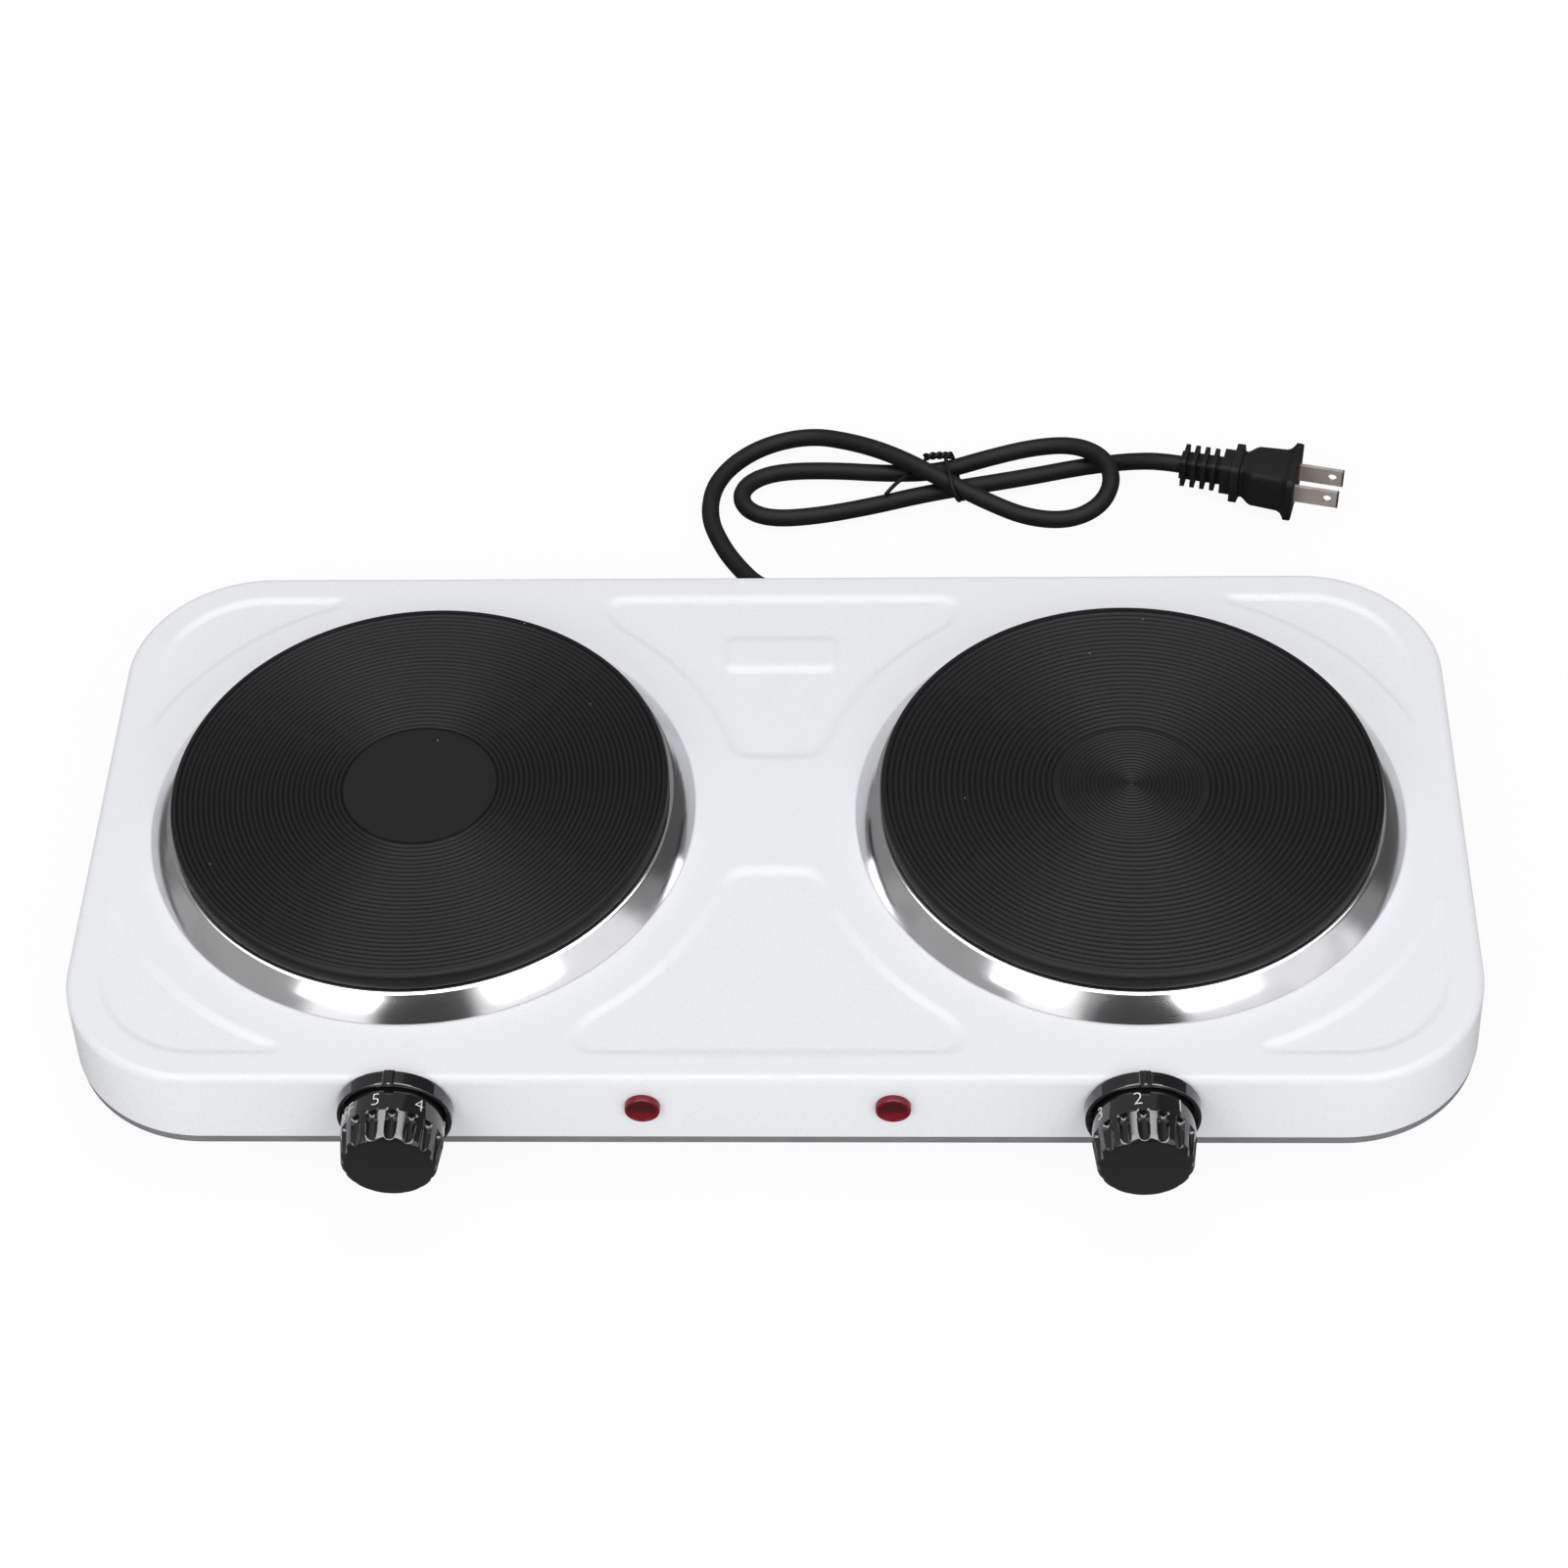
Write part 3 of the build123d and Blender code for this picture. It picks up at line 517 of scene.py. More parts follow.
def blade_metal(nodes):
    """Plated blades with rolling streaks; the last half millimetre of each blade is painted dark, a painted
    shade for its chamfered end, and made less metallic.
    """
    along = nodes.vector("SUBTRACT", nodes.place(), tuple(plug_start))
    reach = nodes.vector("DOT_PRODUCT", along, tuple(plug_axis), "Value")
    streak = nodes.streaks()
    plated = nodes.blend(streak, srgb(182, 170, 161), srgb(214, 202, 193))
    ragged = reach + 0.5 * mm * nodes.noise(scale=700.0)
    # Painted shade at each blade's end, standing in for its chamfer turned from the light; the same mask
    # makes the end less metallic
    tip_shade = nodes.smooth(ragged, blade_tip - 0.55 * mm, blade_tip - 0.15 * mm)
    colour = nodes.blend(tip_shade, plated, srgb(46, 42, 40))
    sockets = nodes.surface(colour, 0.34 + 0.2 * streak, streak, 0.01 * mm)
    return {**sockets, "Metallic": 0.6 - 0.5 * tip_shade}


def dull(nodes, light, dark, roughness):
    """Ceramic, moulded plastic or insulation inside the body."""
    mottle = nodes.noise(scale=260.0, detail=3.0)
    return nodes.surface(nodes.blend(mottle, dark, light), roughness + 0.12 * mottle, mottle, 0.02 * mm)


def dial_white(nodes):
    """White printing on the knobs, a little worn."""
    worn = nodes.smooth(nodes.noise(scale=900.0, detail=2.0), 0.55, 0.8)
    colour = nodes.blend(worn, srgb(232, 232, 232), srgb(205, 205, 205))
    return {"Base Color": colour, "Roughness": 0.35 + 0.1 * worn}


def floor_white(nodes):
    """Pale paint that is white to the eye, more so far out; shiny surfaces see it dim."""
    glow = nodes.add("ShaderNodeEmission", None, {"Color": white, "Strength": 1.0})
    gleam = nodes.add("ShaderNodeEmission", None, {"Color": white, "Strength": floor_gleam})
    far = nodes.smooth(nodes.vector("LENGTH", nodes.place(), output="Value"), floor_near, floor_far)
    whitening = floor_whitening + (1 - floor_whitening) * far
    seen = whitening * (nodes.ray("Camera") + nodes.ray("Transmission"))
    diffuse = Value(nodes, nodes.tree.nodes["Principled BSDF"].outputs[0])
    mixed = nodes.add("ShaderNodeMixShader", None, {0: seen, 1: diffuse, 2: glow})
    shown = nodes.add("ShaderNodeMixShader", None, {0: nodes.ray("Glossy"), 1: mixed, 2: gleam})
    nodes.feed(nodes.tree.nodes["Material Output"].inputs["Surface"], shown)
    return {"Base Color": floor_tone, "Roughness": floor_roughness}


# Finishes: the constant sockets, the look and its values
metal = {"Metallic": 1.0}
satin = {"Specular IOR Level": 0.14}
clear = {"Specular IOR Level": 0.35}
finish_table = {
    "white_enamel": ({"Specular IOR Level": 0.25}, white_enamel),
    "grey_paint": ({}, grey_paint),
    "foot_rubber": (satin, soft_black, srgb(34, 34, 34), srgb(24, 24, 24), 800.0),
    "cast_iron": ({"Specular IOR Level": 0.12}, cast_iron),
    "polished_steel": (metal, polished_steel, -plate_offset),
    "polished_steel_right": (metal, polished_steel, plate_offset),
    "black_plastic": ({"Coat Weight": 1.0, "Coat Roughness": 0.05}, black_plastic),
    "red_lens": (clear, red_lens, -lamp_x),
    "red_lens_right": (clear, red_lens, lamp_x),
    "bulb_glass": ({}, dull, srgb(225, 170, 150), srgb(205, 140, 120), 0.1),
    "ceramic": ({}, dull, srgb(232, 228, 216), srgb(214, 209, 196), 0.5),
    "brass": (metal, plain_metal, srgb(206, 178, 104), srgb(176, 146, 78), 0.25),
    "blade_metal": ({}, blade_metal),
    "cord_rubber": (satin, soft_black, srgb(25, 25, 25), srgb(18, 18, 18), 1200.0),
    "inner_plastic": ({}, dull, srgb(226, 224, 218), srgb(206, 204, 198), 0.4),
    "lead_insulation": ({}, dull, srgb(196, 190, 178), srgb(170, 164, 152), 0.6),
    "steel": (metal, plain_metal, srgb(186, 188, 190), srgb(150, 152, 154), 0.35),
    "dial_white": ({}, dial_white),
    "floor_white": ({"Specular IOR Level": 0.0}, floor_white),
}
finishes = {name: material(name, *row) for name, row in finish_table.items()}


def soft_max(first, second, width):
    """The larger of two fields, with the corner between them rounded over a width."""
    overlap = np.maximum(width - np.abs(first - second), 0) / width
    return np.maximum(first, second) + overlap**2 * width / 4


def smooth_step(value, low, high):
    """0 below one value, 1 above another and a smooth step between."""
    share = np.clip((value - low) / (high - low), 0, 1)
    return share * share * (3 - 2 * share)


def rounded_rectangle(x, y, half_length, half_width, corner):
    """Signed distance to a rectangle with round corners: negative inside."""
    over_x = np.abs(x) - (half_length - corner)
    over_y = np.abs(y) - (half_width - corner)
    outside = np.hypot(np.maximum(over_x, 0), np.maximum(over_y, 0))
    return outside + np.minimum(np.maximum(over_x, over_y), 0) - corner


def added(name, data):
    """A new object in the scene for a mesh, a curve, a lamp or a camera."""
    made = bpy.data.objects.new(name, data)
    bpy.context.scene.collection.objects.link(made)
    return made


def round_angles(columns):
    """Angles once round, without the last, which is the first again."""
    return np.linspace(0, 2 * np.pi, columns, endpoint=False)


def finish_mesh(mesh, sharp):
    """Merges doubled points, turns the faces outwards and shades smoothly up to an edge angle."""
    work = bmesh.new()
    work.from_mesh(mesh)
    bmesh.ops.remove_doubles(work, verts=work.verts, dist=merge_distance)
    bmesh.ops.recalc_face_normals(work, faces=work.faces)
    work.to_mesh(mesh)
    work.free()
    mesh.polygons.foreach_set("use_smooth", np.ones(len(mesh.polygons), bool))
    mesh.set_sharp_from_angle(angle=math.radians(sharp))


def piece(name, points, faces, finish, body, sharp=plain_sharp):
    """A finished mesh piece that rides on a body."""
    mesh = bpy.data.meshes.new(name)
    mesh.from_pydata(points.reshape(-1, 3).tolist(), [], faces.tolist())
    finish_mesh(mesh, sharp)
    made = added(name, mesh)
    mesh.materials.append(finishes[finish])
    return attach(made, body)


def quads_of(rows, columns, closed_rows):
    """Corner numbers of a grid's four-sided faces; its columns close round, and its rows too if wanted."""
    index = np.arange(rows * columns).reshape(rows, columns)
    below = np.roll(index, -1, axis=0) if closed_rows else index[1:]
    above = index if closed_rows else index[:-1]
    corners = [above, np.roll(above, -1, axis=1), np.roll(below, -1, axis=1), below]
    return np.stack(corners, axis=-1).reshape(-1, 4)


def grid_piece(name, grid, finish, body, sharp=plain_sharp):
    """A piece over a grid whose rows close round; its first and last rows lie on a point or an edge."""
    return piece(name, grid, quads_of(*grid.shape[:2], False), finish, body, sharp)


def turned(profile, columns):
    """Grid of a profile of (radius, height) turned about Z: each point sweeps a circle."""
    angle = round_angles(columns)
    radius = profile[:, :1]
    height = np.broadcast_to(profile[:, 1:], (len(profile), columns))
    return np.stack([radius * np.cos(angle), radius * np.sin(angle), height], axis=-1)


def rounded_profile(corners, steps=6):
    """A profile through (radius, height, rounding) corners; an arc joins each corner's tangent points."""
    points = np.array([corner[:2] for corner in corners])
    roundings = np.array([corner[2] for corner in corners])
    rows = [points[:1]]
    for before, here, after, rounding in zip(points, points[1:], points[2:], roundings[1:]):
        if rounding == 0:
            rows.append(here[None])
            continue
        to_before = (before - here) / np.linalg.norm(before - here)
        to_after = (after - here) / np.linalg.norm(after - here)
        half = np.arccos(np.clip(to_before @ to_after, -1, 1)) / 2
        middle = (to_before + to_after) / np.linalg.norm(to_before + to_after)
        centre = here + middle * rounding / np.sin(half)
        start = here + to_before * rounding / np.tan(half) - centre
        end = here + to_after * rounding / np.tan(half) - centre
        turn = np.pi - 2 * half
        share = np.linspace(0, 1, steps + 1)[:, None]
        weights = np.sin((1 - share) * turn), np.sin(share * turn)
        rows.append(centre + (weights[0] * start + weights[1] * end) / np.sin(turn))
    rows.append(points[-1:])
    return np.concatenate(rows)


def on_plate(profile, columns, side):
    """A profile turned about a plate's axis, with its heights from the body's top."""
    return turned(profile, columns) + np.array([sides[side] * plate_offset, middle_line, body_top])


def on_front(grid, x, height):
    """A grid drawn with its Z out of the front wall and its Y up, at a place on that wall."""
    return np.stack([x + grid[..., 0], front_wall - grid[..., 2], height + grid[..., 1]], axis=-1)


def outline_columns():
    """Points of the top's outer outline and of the inner line that the top ends on, in pairs, once round.

    Right corner: rays from the plate's centre meet the rounded rectangle. Next to it: upright lines from the
    hole's arc to the long side. Middle: upright lines from the middle line. Left half and front mirror them.
    """
    ray = np.linspace(0, np.pi / 2, columns_of_corner, endpoint=False)
    direction = np.stack([np.cos(ray), np.sin(ray)], axis=-1)
    reach = np.full(len(ray), 0.0)
    far = np.full(len(ray), 3 * body_half_length)
    for _ in range(search_steps):
        middle = (reach + far) / 2
        x = plate_offset + middle * direction[:, 0]
        y = middle * direction[:, 1]
        outside = rounded_rectangle(x, y, body_half_length, body_half_width, body_corner) > 0
        far = np.where(outside, middle, far)
        reach = np.where(outside, reach, middle)
    centre = np.array([plate_offset, 0])
    corner = np.stack([centre + shell_hole * direction, centre + reach[:, None] * direction])
    turn = np.linspace(np.pi / 2, np.pi, columns_of_arc, endpoint=False)
    hole = centre + shell_hole * np.stack([np.cos(turn), np.sin(turn)], axis=-1)
    arc = np.stack([hole, np.stack([hole[:, 0], np.full(len(hole), body_half_width)], axis=-1)])
    gap = plate_offset - shell_hole
    across = np.linspace(gap, -gap, columns_of_middle + 1)
    middle = np.stack([np.stack([across, np.full_like(across, y)], axis=-1) for y in (0, body_half_width)])
    mirrored = np.array([-1, 1])
    flipped = np.array([1, -1])
    left = np.array([[[-plate_offset - shell_hole, 0]], [[-body_half_length, 0]]])
    rear = [corner, arc, middle, arc[:, ::-1] * mirrored, corner[:, :0:-1] * mirrored]
    rear = np.concatenate(rear, axis=1)
    return np.concatenate([rear, left, rear[:, :0:-1] * flipped], axis=1)


def panel_drop(x, y):
    """How far the top is pressed down: smooth steps in the distance to the panels, less the raised rib."""
    along = np.abs(x)
    to_side = np.abs(y)
    from_plate = np.hypot(along - plate_offset, y)
    rear = body_half_width - panel_margin
    middle = soft_max(along - panel_half_width, to_side - rear, panel_corner)
    middle = soft_max(middle, panel_inner - to_side, panel_corner)
    middle = soft_max(middle, panel_arc - from_plate, panel_corner)
    length = body_half_length - panel_margin
    crescent = rounded_rectangle(x, y, length, rear, body_corner - panel_margin)
    crescent = soft_max(crescent, crescent_arc - from_plate, crescent_corner)
    crescent = soft_max(crescent, crescent_start - (along - plate_offset), crescent_corner)
    crescent = soft_max(crescent, crescent_end - to_side, crescent_corner)
    rib = rounded_rectangle(x, y - rib_place, rib_half_length, rib_half_width, rib_corner)
    pressed = smooth_step(-np.minimum(middle, crescent), 0, panel_slope)
    raised = smooth_step(-rib, -rib_slope / 2, rib_slope / 2)
    return panel_depth * pressed * (1 - raised)


def pressed_shell():
    """The white shell, as one grid round the body.

    It runs from the plate holes over the top and the rounded edge, down the leaning wall and back inside.
    The top's rows lie between paired points of the inner and outer lines.
    """
    inner, outer = outline_columns()
    outward = outline_normals(outer)
    top_line = outer - outward * wall_draft
    across = inner - top_line
    run = np.linalg.norm(across, axis=1, keepdims=True)
    edge_share = top_edge / run
    share = np.linspace(1, 0, rows_of_top)[:, None, None]
    flat = top_line + across * (edge_share + (1 - edge_share) * share)
    top = np.concatenate([flat, -panel_drop(flat[..., 0], flat[..., 1])[..., None]], axis=-1)
    bend = np.linspace(0, np.pi / 2, rows_of_edge + 1)[1:, None, None]
    edge_flat = top_line - outward * top_edge * (1 - np.sin(bend))
    edge_height = np.broadcast_to(-top_edge * (1 - np.cos(bend)), (*edge_flat.shape[:2], 1))
    edge = np.concatenate([edge_flat, edge_height], axis=-1)
    wall_bottom = body_bottom - body_top
    lean = np.linspace(0, 1, rows_of_wall + 1)[1:, None, None]
    level = -top_edge + lean * (wall_bottom + top_edge)
    wall = rows_at(top_line + outward * wall_draft * lean, level)
    lining = [
        (outer - outward * sheet, wall_bottom), (top_line - outward * wall_top_sheet, -top_edge),
        (top_line - outward * top_edge, -sheet - panel_depth), (inner, -sheet - panel_depth),
    ]
    inside = [rows_at(line[None], np.full((1, 1, 1), height)) for line, height in lining]
    grid = np.concatenate([top, edge, wall, *inside])
    grid = grid + np.array([0, middle_line, body_top])
    rows, columns = grid.shape[:2]
    faces = quads_of(rows, columns, True)
    last_row = faces[-columns:]
    on_hole = np.abs(inner[:, 1]) > merge_distance
    on_hole = on_hole | np.roll(on_hole, -1)
    faces = np.concatenate([faces[:-columns], last_row[on_hole]])
    shell = piece("pressed_shell", grid, faces, "white_enamel", "housing", shell_sharp)
    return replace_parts(shell, "top_shell")


def base_rim():
    """The rim of the base below the shell: a band along the outline, set in a little, round at its foot."""
    outer = outline_columns()[1]
    outward = outline_normals(outer)
    section = rounded_profile([
        (rim_inset, body_bottom + rim_seat, 0), (rim_inset, base_low - rim_drop, rim_edge),
        (rim_hem, base_low - rim_drop, 0), (rim_hem, body_bottom + rim_seat, 0),
    ])
    flat = outer - outward * section[:, :1, None]
    grid = rows_at(flat, section[:, 1:, None]) + np.array([0, middle_line, 0])
    return piece("base_rim", grid, quads_of(*grid.shape[:2], True), "grey_paint", "housing")


def rows_at(flat, level):
    """Rows of an outline at given heights."""
    rows = max(len(flat), len(level))
    flat = np.broadcast_to(flat, (rows, *flat.shape[1:]))
    return np.concatenate([flat, np.broadcast_to(level, (*flat.shape[:2], 1))], axis=-1)


def outline_normals(outer):
    """Unit vectors out of the outline: away from the nearest point of the rectangle within its corners."""
    limit = np.array([body_half_length, body_half_width]) - body_corner
    away = outer - np.clip(outer, -limit, limit)
    return away / np.linalg.norm(away, axis=1, keepdims=True)


def grooves(start, end, pitch, depth):
    """Radii and heights of round ridges between cusps: the height falls as 1 - |sin| along the pitch."""
    count = round((end - start) / pitch)
    place = np.linspace(0, count, count * rows_of_groove + 1)
    radius = start + place * (end - start) / count
    return np.stack([radius, plate_rise - depth * (1 - np.abs(np.sin(np.pi * place)))], axis=-1)


def plate_face(side):
    """Profile of the turned face, centre outwards: a recessed disc on the left, fine rings on the right."""
    if side == "left":
        disc_level = plate_rise - left_disc_depth
        disc = np.array([[0, disc_level], [left_disc, disc_level], [left_disc, plate_rise]])
        rings = grooves(left_disc + groove_land, groove_end, left_groove_pitch, groove_depth)
        return np.concatenate([disc, rings])
    fine = grooves(0, right_fine_end, right_fine_pitch, right_fine_depth)
    ring_level = plate_rise - right_ring_depth
    ring_ends = [right_fine_end + groove_land, right_groove_start - groove_land]
    ring = np.array([[radius, ring_level] for radius in ring_ends])
    rings = grooves(right_groove_start, groove_end, right_groove_pitch, groove_depth)
    return np.concatenate([fine, ring, rings])


def hot_plate(side):
    """A cast iron plate turned about its axis: grooved face, rounded rim, skirt, channel and boss."""
    rim = rounded_profile([
        (groove_end, plate_rise, 0), (plate_radius, plate_rise, plate_rounding),
        (plate_radius, plate_seat, plate_lower_rounding), (skirt_radius, plate_seat, 0),
        (skirt_radius, -plate_depth, 0), (channel_radius, -plate_depth, 0), (channel_radius, channel_roof, 0),
        (boss_radius, channel_roof, 0), (boss_radius, -plate_depth, 0), (0, -plate_depth, 0),
    ])
    profile = np.concatenate([plate_face(side), rim[1:]])
    grid = on_plate(profile, plate_columns, side)
    plate = grid_piece(f"{side}_turned_plate", grid, "cast_iron", "housing", plate_sharp)
    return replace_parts(plate, f"{side}_hotplate")


def spill_ring(side):
    """The polished ring: a lip below the plate's rim, a round crest and a sloping band that swells a little.

    The swell is half a sine wave along the band, at right angles to it.
    """
    crest = np.array([plate_radius + ring_crest, ring_height])
    edge = np.array([ring_radius, ring_edge])
    slope = (edge - crest) / np.linalg.norm(edge - crest)
    outer = rounded_profile([
        (ring_lip, ring_height - ring_sheet, 0), (ring_lip, ring_height, 0),
        (*crest, ring_shoulder), (*edge, 0),
    ])
    share = np.linspace(0, 1, rows_of_band)[1:, None]
    band = outer[-2] + share * (outer[-1] - outer[-2])
    swell = ring_bulge * np.sin(np.pi * share) * np.array([-slope[1], slope[0]])
    inner = np.array([
        (ring_radius - ring_undercut, 0), (ring_radius - ring_foot, 0),
        (crest[0] - ring_sheet, ring_height - ring_sheet),
        (ring_lip, ring_height - ring_sheet),
    ])
    profile = np.concatenate([outer[:-1], band + swell, inner])
    grid = on_plate(profile, ring_columns, side)
    ring = grid_piece(f"{side}_spill_ring", grid, "polished_steel" + finish_ends[side], "housing")
    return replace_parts(ring, f"{side}_trim_ring")


def knob_profile():
    """Radius and height along half the knob's section, and the number of the first row that flutes cut."""
    inside = knob_radius - knob_wall
    nose = knob_radius - knob_taper
    ceiling = knob_front - knob_face
    band_end = knob_back + knob_band
    inner = rounded_profile([
        (0, hub_depth, 0), (hub_bore, hub_depth, 0), (hub_bore, hub_back, 0),
        (hub_radius, hub_back, knob_edge), (hub_radius, ceiling, 0),
        (inside - knob_taper, ceiling, 0), (inside, knob_back, 0),
        (knob_radius, knob_back, knob_edge), (knob_radius, band_end - band_bend, 0),
        (knob_radius, band_end, 0),
    ])
    outer = rounded_profile([
        (knob_radius, band_end, 0), (nose, knob_front - knob_dome, knob_rounding), (0, knob_front, 0),
    ], steps_of_rounding)
    run = np.linspace(0, 1, rows_of_flank)[1:, None]
    flank = outer[0] + run * (outer[1] - outer[0])
    face = outer[-2] + np.linspace(0, 1, rows_of_face)[1:, None] * (outer[-1] - outer[-2])
    profile = np.concatenate([inner, flank, outer[2:-1], face])
    return profile, len(inner)


def knob_grid(turn):
    """A fluted knob: a turned profile whose radius is cut, from the band forwards, by round cutters.

    The cutter sinks in as a quarter ellipse over the entry and then runs parallel to the axis. Centred at
    radius c it cuts to c cos(a) - sqrt(r r - (c sin(a))^2) at an angle a from the flute's middle, and a soft
    minimum blends the cut.
    """
    profile, first_fluted = knob_profile()
    columns = flutes * columns_of_flute
    angle = round_angles(columns)
    radius = np.broadcast_to(profile[:, :1], (len(profile), columns))
    height = np.broadcast_to(profile[:, 1:], radius.shape)
    band_end = knob_back + knob_band
    pitch = 2 * np.pi / flutes
    phase = math.radians(90 - flute_phase - turn)
    off = (angle - phase + pitch / 2) % pitch - pitch / 2
    entry = np.clip((height - band_end) / flute_entry, 0, 1)
    sunk = flute_depth * np.sqrt(1 - (1 - entry) ** 2)
    centre = knob_radius + flute_radius - sunk
    within = flute_radius**2 - (centre * np.sin(off)) ** 2
    cut = np.where(within > 0, centre * np.cos(off) - np.sqrt(np.maximum(within, 0)), 2 * knob_radius)
    fluted = np.minimum(radius, -soft_max(-radius, -cut, flute_softness))
    rows = np.arange(len(profile))[:, None]
    radius = np.where(rows >= first_fluted, fluted, radius)
    return np.stack([radius * np.cos(angle), radius * np.sin(angle), height], axis=-1)


def dial_knob(side):
    """The knob and its dial marks, turned as the joint stands at rest."""
    x = sides[side] * plate_offset
    turn = knob_turns[side]
    body = f"{side}_control"
    placed = on_front(knob_grid(turn), x, control_height)
    knob = grid_piece(f"{side}_fluted_knob", placed, "black_plastic", body, knob_sharp)
    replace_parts(knob, f"{side}_knob")
    for step, mark in enumerate(dial_marks):
        dial_mark(f"{side}_dial_{mark}", mark, turn + step * dial_step, x, dial_places[side], body)


def dial_mark(name, text, clockwise, x, place, body):
    """Thin lettering, sliced into narrow strips and wrapped on the knob's band.

    Across becomes angle, up becomes the way to the wall and thickness adds to the radius.
    """
    curve = bpy.data.curves.new(name, "FONT")
    curve.body = text
    curve.size = dial_size
    curve.extrude = dial_half_thickness
    curve.offset = -dial_thinning
    curve.align_x = "CENTER"
    curve.align_y = "CENTER"
    curve.resolution_u = dial_resolution
    flat = added(name, curve)
    bpy.context.view_layer.update()
    mesh = bpy.data.meshes.new_from_object(flat.evaluated_get(bpy.context.evaluated_depsgraph_get()))
    bpy.data.objects.remove(flat)
    work = bmesh.new()
    work.from_mesh(mesh)
    for cut in np.arange(-2 * dial_size, 2 * dial_size, dial_slice):
        geometry = work.verts[:] + work.edges[:] + work.faces[:]
        bmesh.ops.bisect_plane(work, geom=geometry, plane_co=(cut, 0, 0), plane_no=(1, 0, 0))
    work.to_mesh(mesh)
    work.free()
    points = np.zeros(len(mesh.vertices) * 3)
    mesh.vertices.foreach_get("co", points)
    points = points.reshape(-1, 3)
    radius = knob_radius + dial_lift + points[:, 2]
    angle = math.radians(90 - clockwise) - points[:, 0] / knob_radius
    wrapped = np.stack([radius * np.cos(angle), radius * np.sin(angle), place - points[:, 1]], axis=-1)
    mesh.vertices.foreach_set("co", on_front(wrapped, x, control_height).ravel())
    finish_mesh(mesh, plain_sharp)
    mesh.materials.clear()
    mesh.materials.append(finishes["dial_white"])
    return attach(added(name, mesh), body)


def bezel_ring(side):
    """The ring round a knob, on a neck that meets the leaning wall.

    A turned profile, pushed out at the top over the marker's width, less two narrow grooves along the marker.
    """
    inside = bezel_radius - bezel_wall
    profile = rounded_profile([
        (hub_radius, -bezel_neck, 0), (bezel_radius - bezel_step, -bezel_neck, 0),
        (bezel_radius - bezel_step, 0, 0), (bezel_radius, 0, 0),
        (bezel_radius - bezel_band * bezel_draft, bezel_band * bezel_height, 0),
        (bezel_radius - bezel_draft, bezel_height, bezel_rounding),
        (inside, bezel_height, bezel_rounding), (inside, bezel_floor, 0), (hub_radius, bezel_floor, 0),
        (hub_radius, -bezel_neck, 0),
    ], bezel_steps)
    grid = turned(profile, bezel_columns)
    across = grid[..., 0]
    at_top = grid[..., 1] > 0
    ridge = 1 - smooth_step(np.abs(across), marker_width / 2 - marker_softness, marker_width / 2)
    ridge = np.where(at_top & (profile[:, :1] > inside + marker_clearance), ridge, 0)
    from_groove = np.abs(np.abs(across) - marker_groove_place)
    groove = marker_groove_share * (1 - smooth_step(from_groove, 0, marker_groove_width))
    lift = marker_rise * ridge * (1 - groove)
    grid[..., 1] += lift
    grid[..., 2] += np.where(grid[..., 2] > bezel_height - bezel_rounding, lift, 0)
    placed = on_front(grid, sides[side] * plate_offset, control_height)
    ring = grid_piece(f"{side}_bezel_ring", placed, "black_plastic", "housing")
    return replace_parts(ring, f"{side}_bezel")


def lamp_cap(side):
    """The pilot lamp's lens: a low drum with a rounded rim and a dished face, on a neck through the wall."""
    x = sides[side] * lamp_x
    profile = rounded_profile([
        (0, -lamp_depth, 0), (lamp_neck, -lamp_depth, 0), (lamp_neck, -lamp_seat, 0),
        (lamp_radius, -lamp_seat, 0), (lamp_radius - lamp_draft, lamp_rise, lamp_rounding),
        (lamp_ring, lamp_rise, lamp_rounding / 3), (lamp_floor, lamp_rise - lamp_dish, lamp_rounding / 2),
        (0, lamp_rise - lamp_dish, 0),
    ])
    placed = on_front(turned(profile, lamp_columns), x, lamp_height)
    cap = grid_piece(f"{side}_lamp_cap", placed, "red_lens" + finish_ends[side], "housing")
    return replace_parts(cap, f"{side}_lamp_lens")


def curve_through(points, steps):
    """A smooth line through points: between two of them the cubic whose ends lean as their neighbours do."""
    points = np.array(points, float)
    padded = np.concatenate([2 * points[:1] - points[1:2], points, 2 * points[-1:] - points[-2:-1]])
    share = np.linspace(0, 1, steps, endpoint=False)[None, :, None]
    first, second, third, fourth = (padded[start:len(padded) - 3 + start, None] for start in range(4))
    line = second + 0.5 * share * (third - first)
    line = line + share**2 * (first - 2.5 * second + 2 * third - 0.5 * fourth)
    line = line + share**3 * (1.5 * second - 1.5 * third + 0.5 * fourth - 0.5 * first)
    return np.concatenate([line.reshape(-1, 3), points[-1:]])


def side_vectors(path, level):
    """Two unit vectors across a path at each point, the first at right angles to a given direction."""
    along = np.gradient(path, axis=0)
    across = np.cross(along, np.array(level, float))
    across = across / np.linalg.norm(across, axis=1, keepdims=True)
    over = np.cross(across, along)
    return across, over / np.linalg.norm(over, axis=1, keepdims=True)


def wire(path, radius, level, columns=tie_columns):
    """Grid of a round section carried along a path, closed at both ends by a point."""
    across, over = side_vectors(path, level)
    angle = round_angles(columns)[None, :, None]
    rings = path[:, None] + radius * (np.cos(angle) * across[:, None] + np.sin(angle) * over[:, None])
    start = np.broadcast_to(path[:1, None], (1, columns, 3))
    end = np.broadcast_to(path[-1:, None], (1, columns, 3))
    return np.concatenate([start, rings, end])


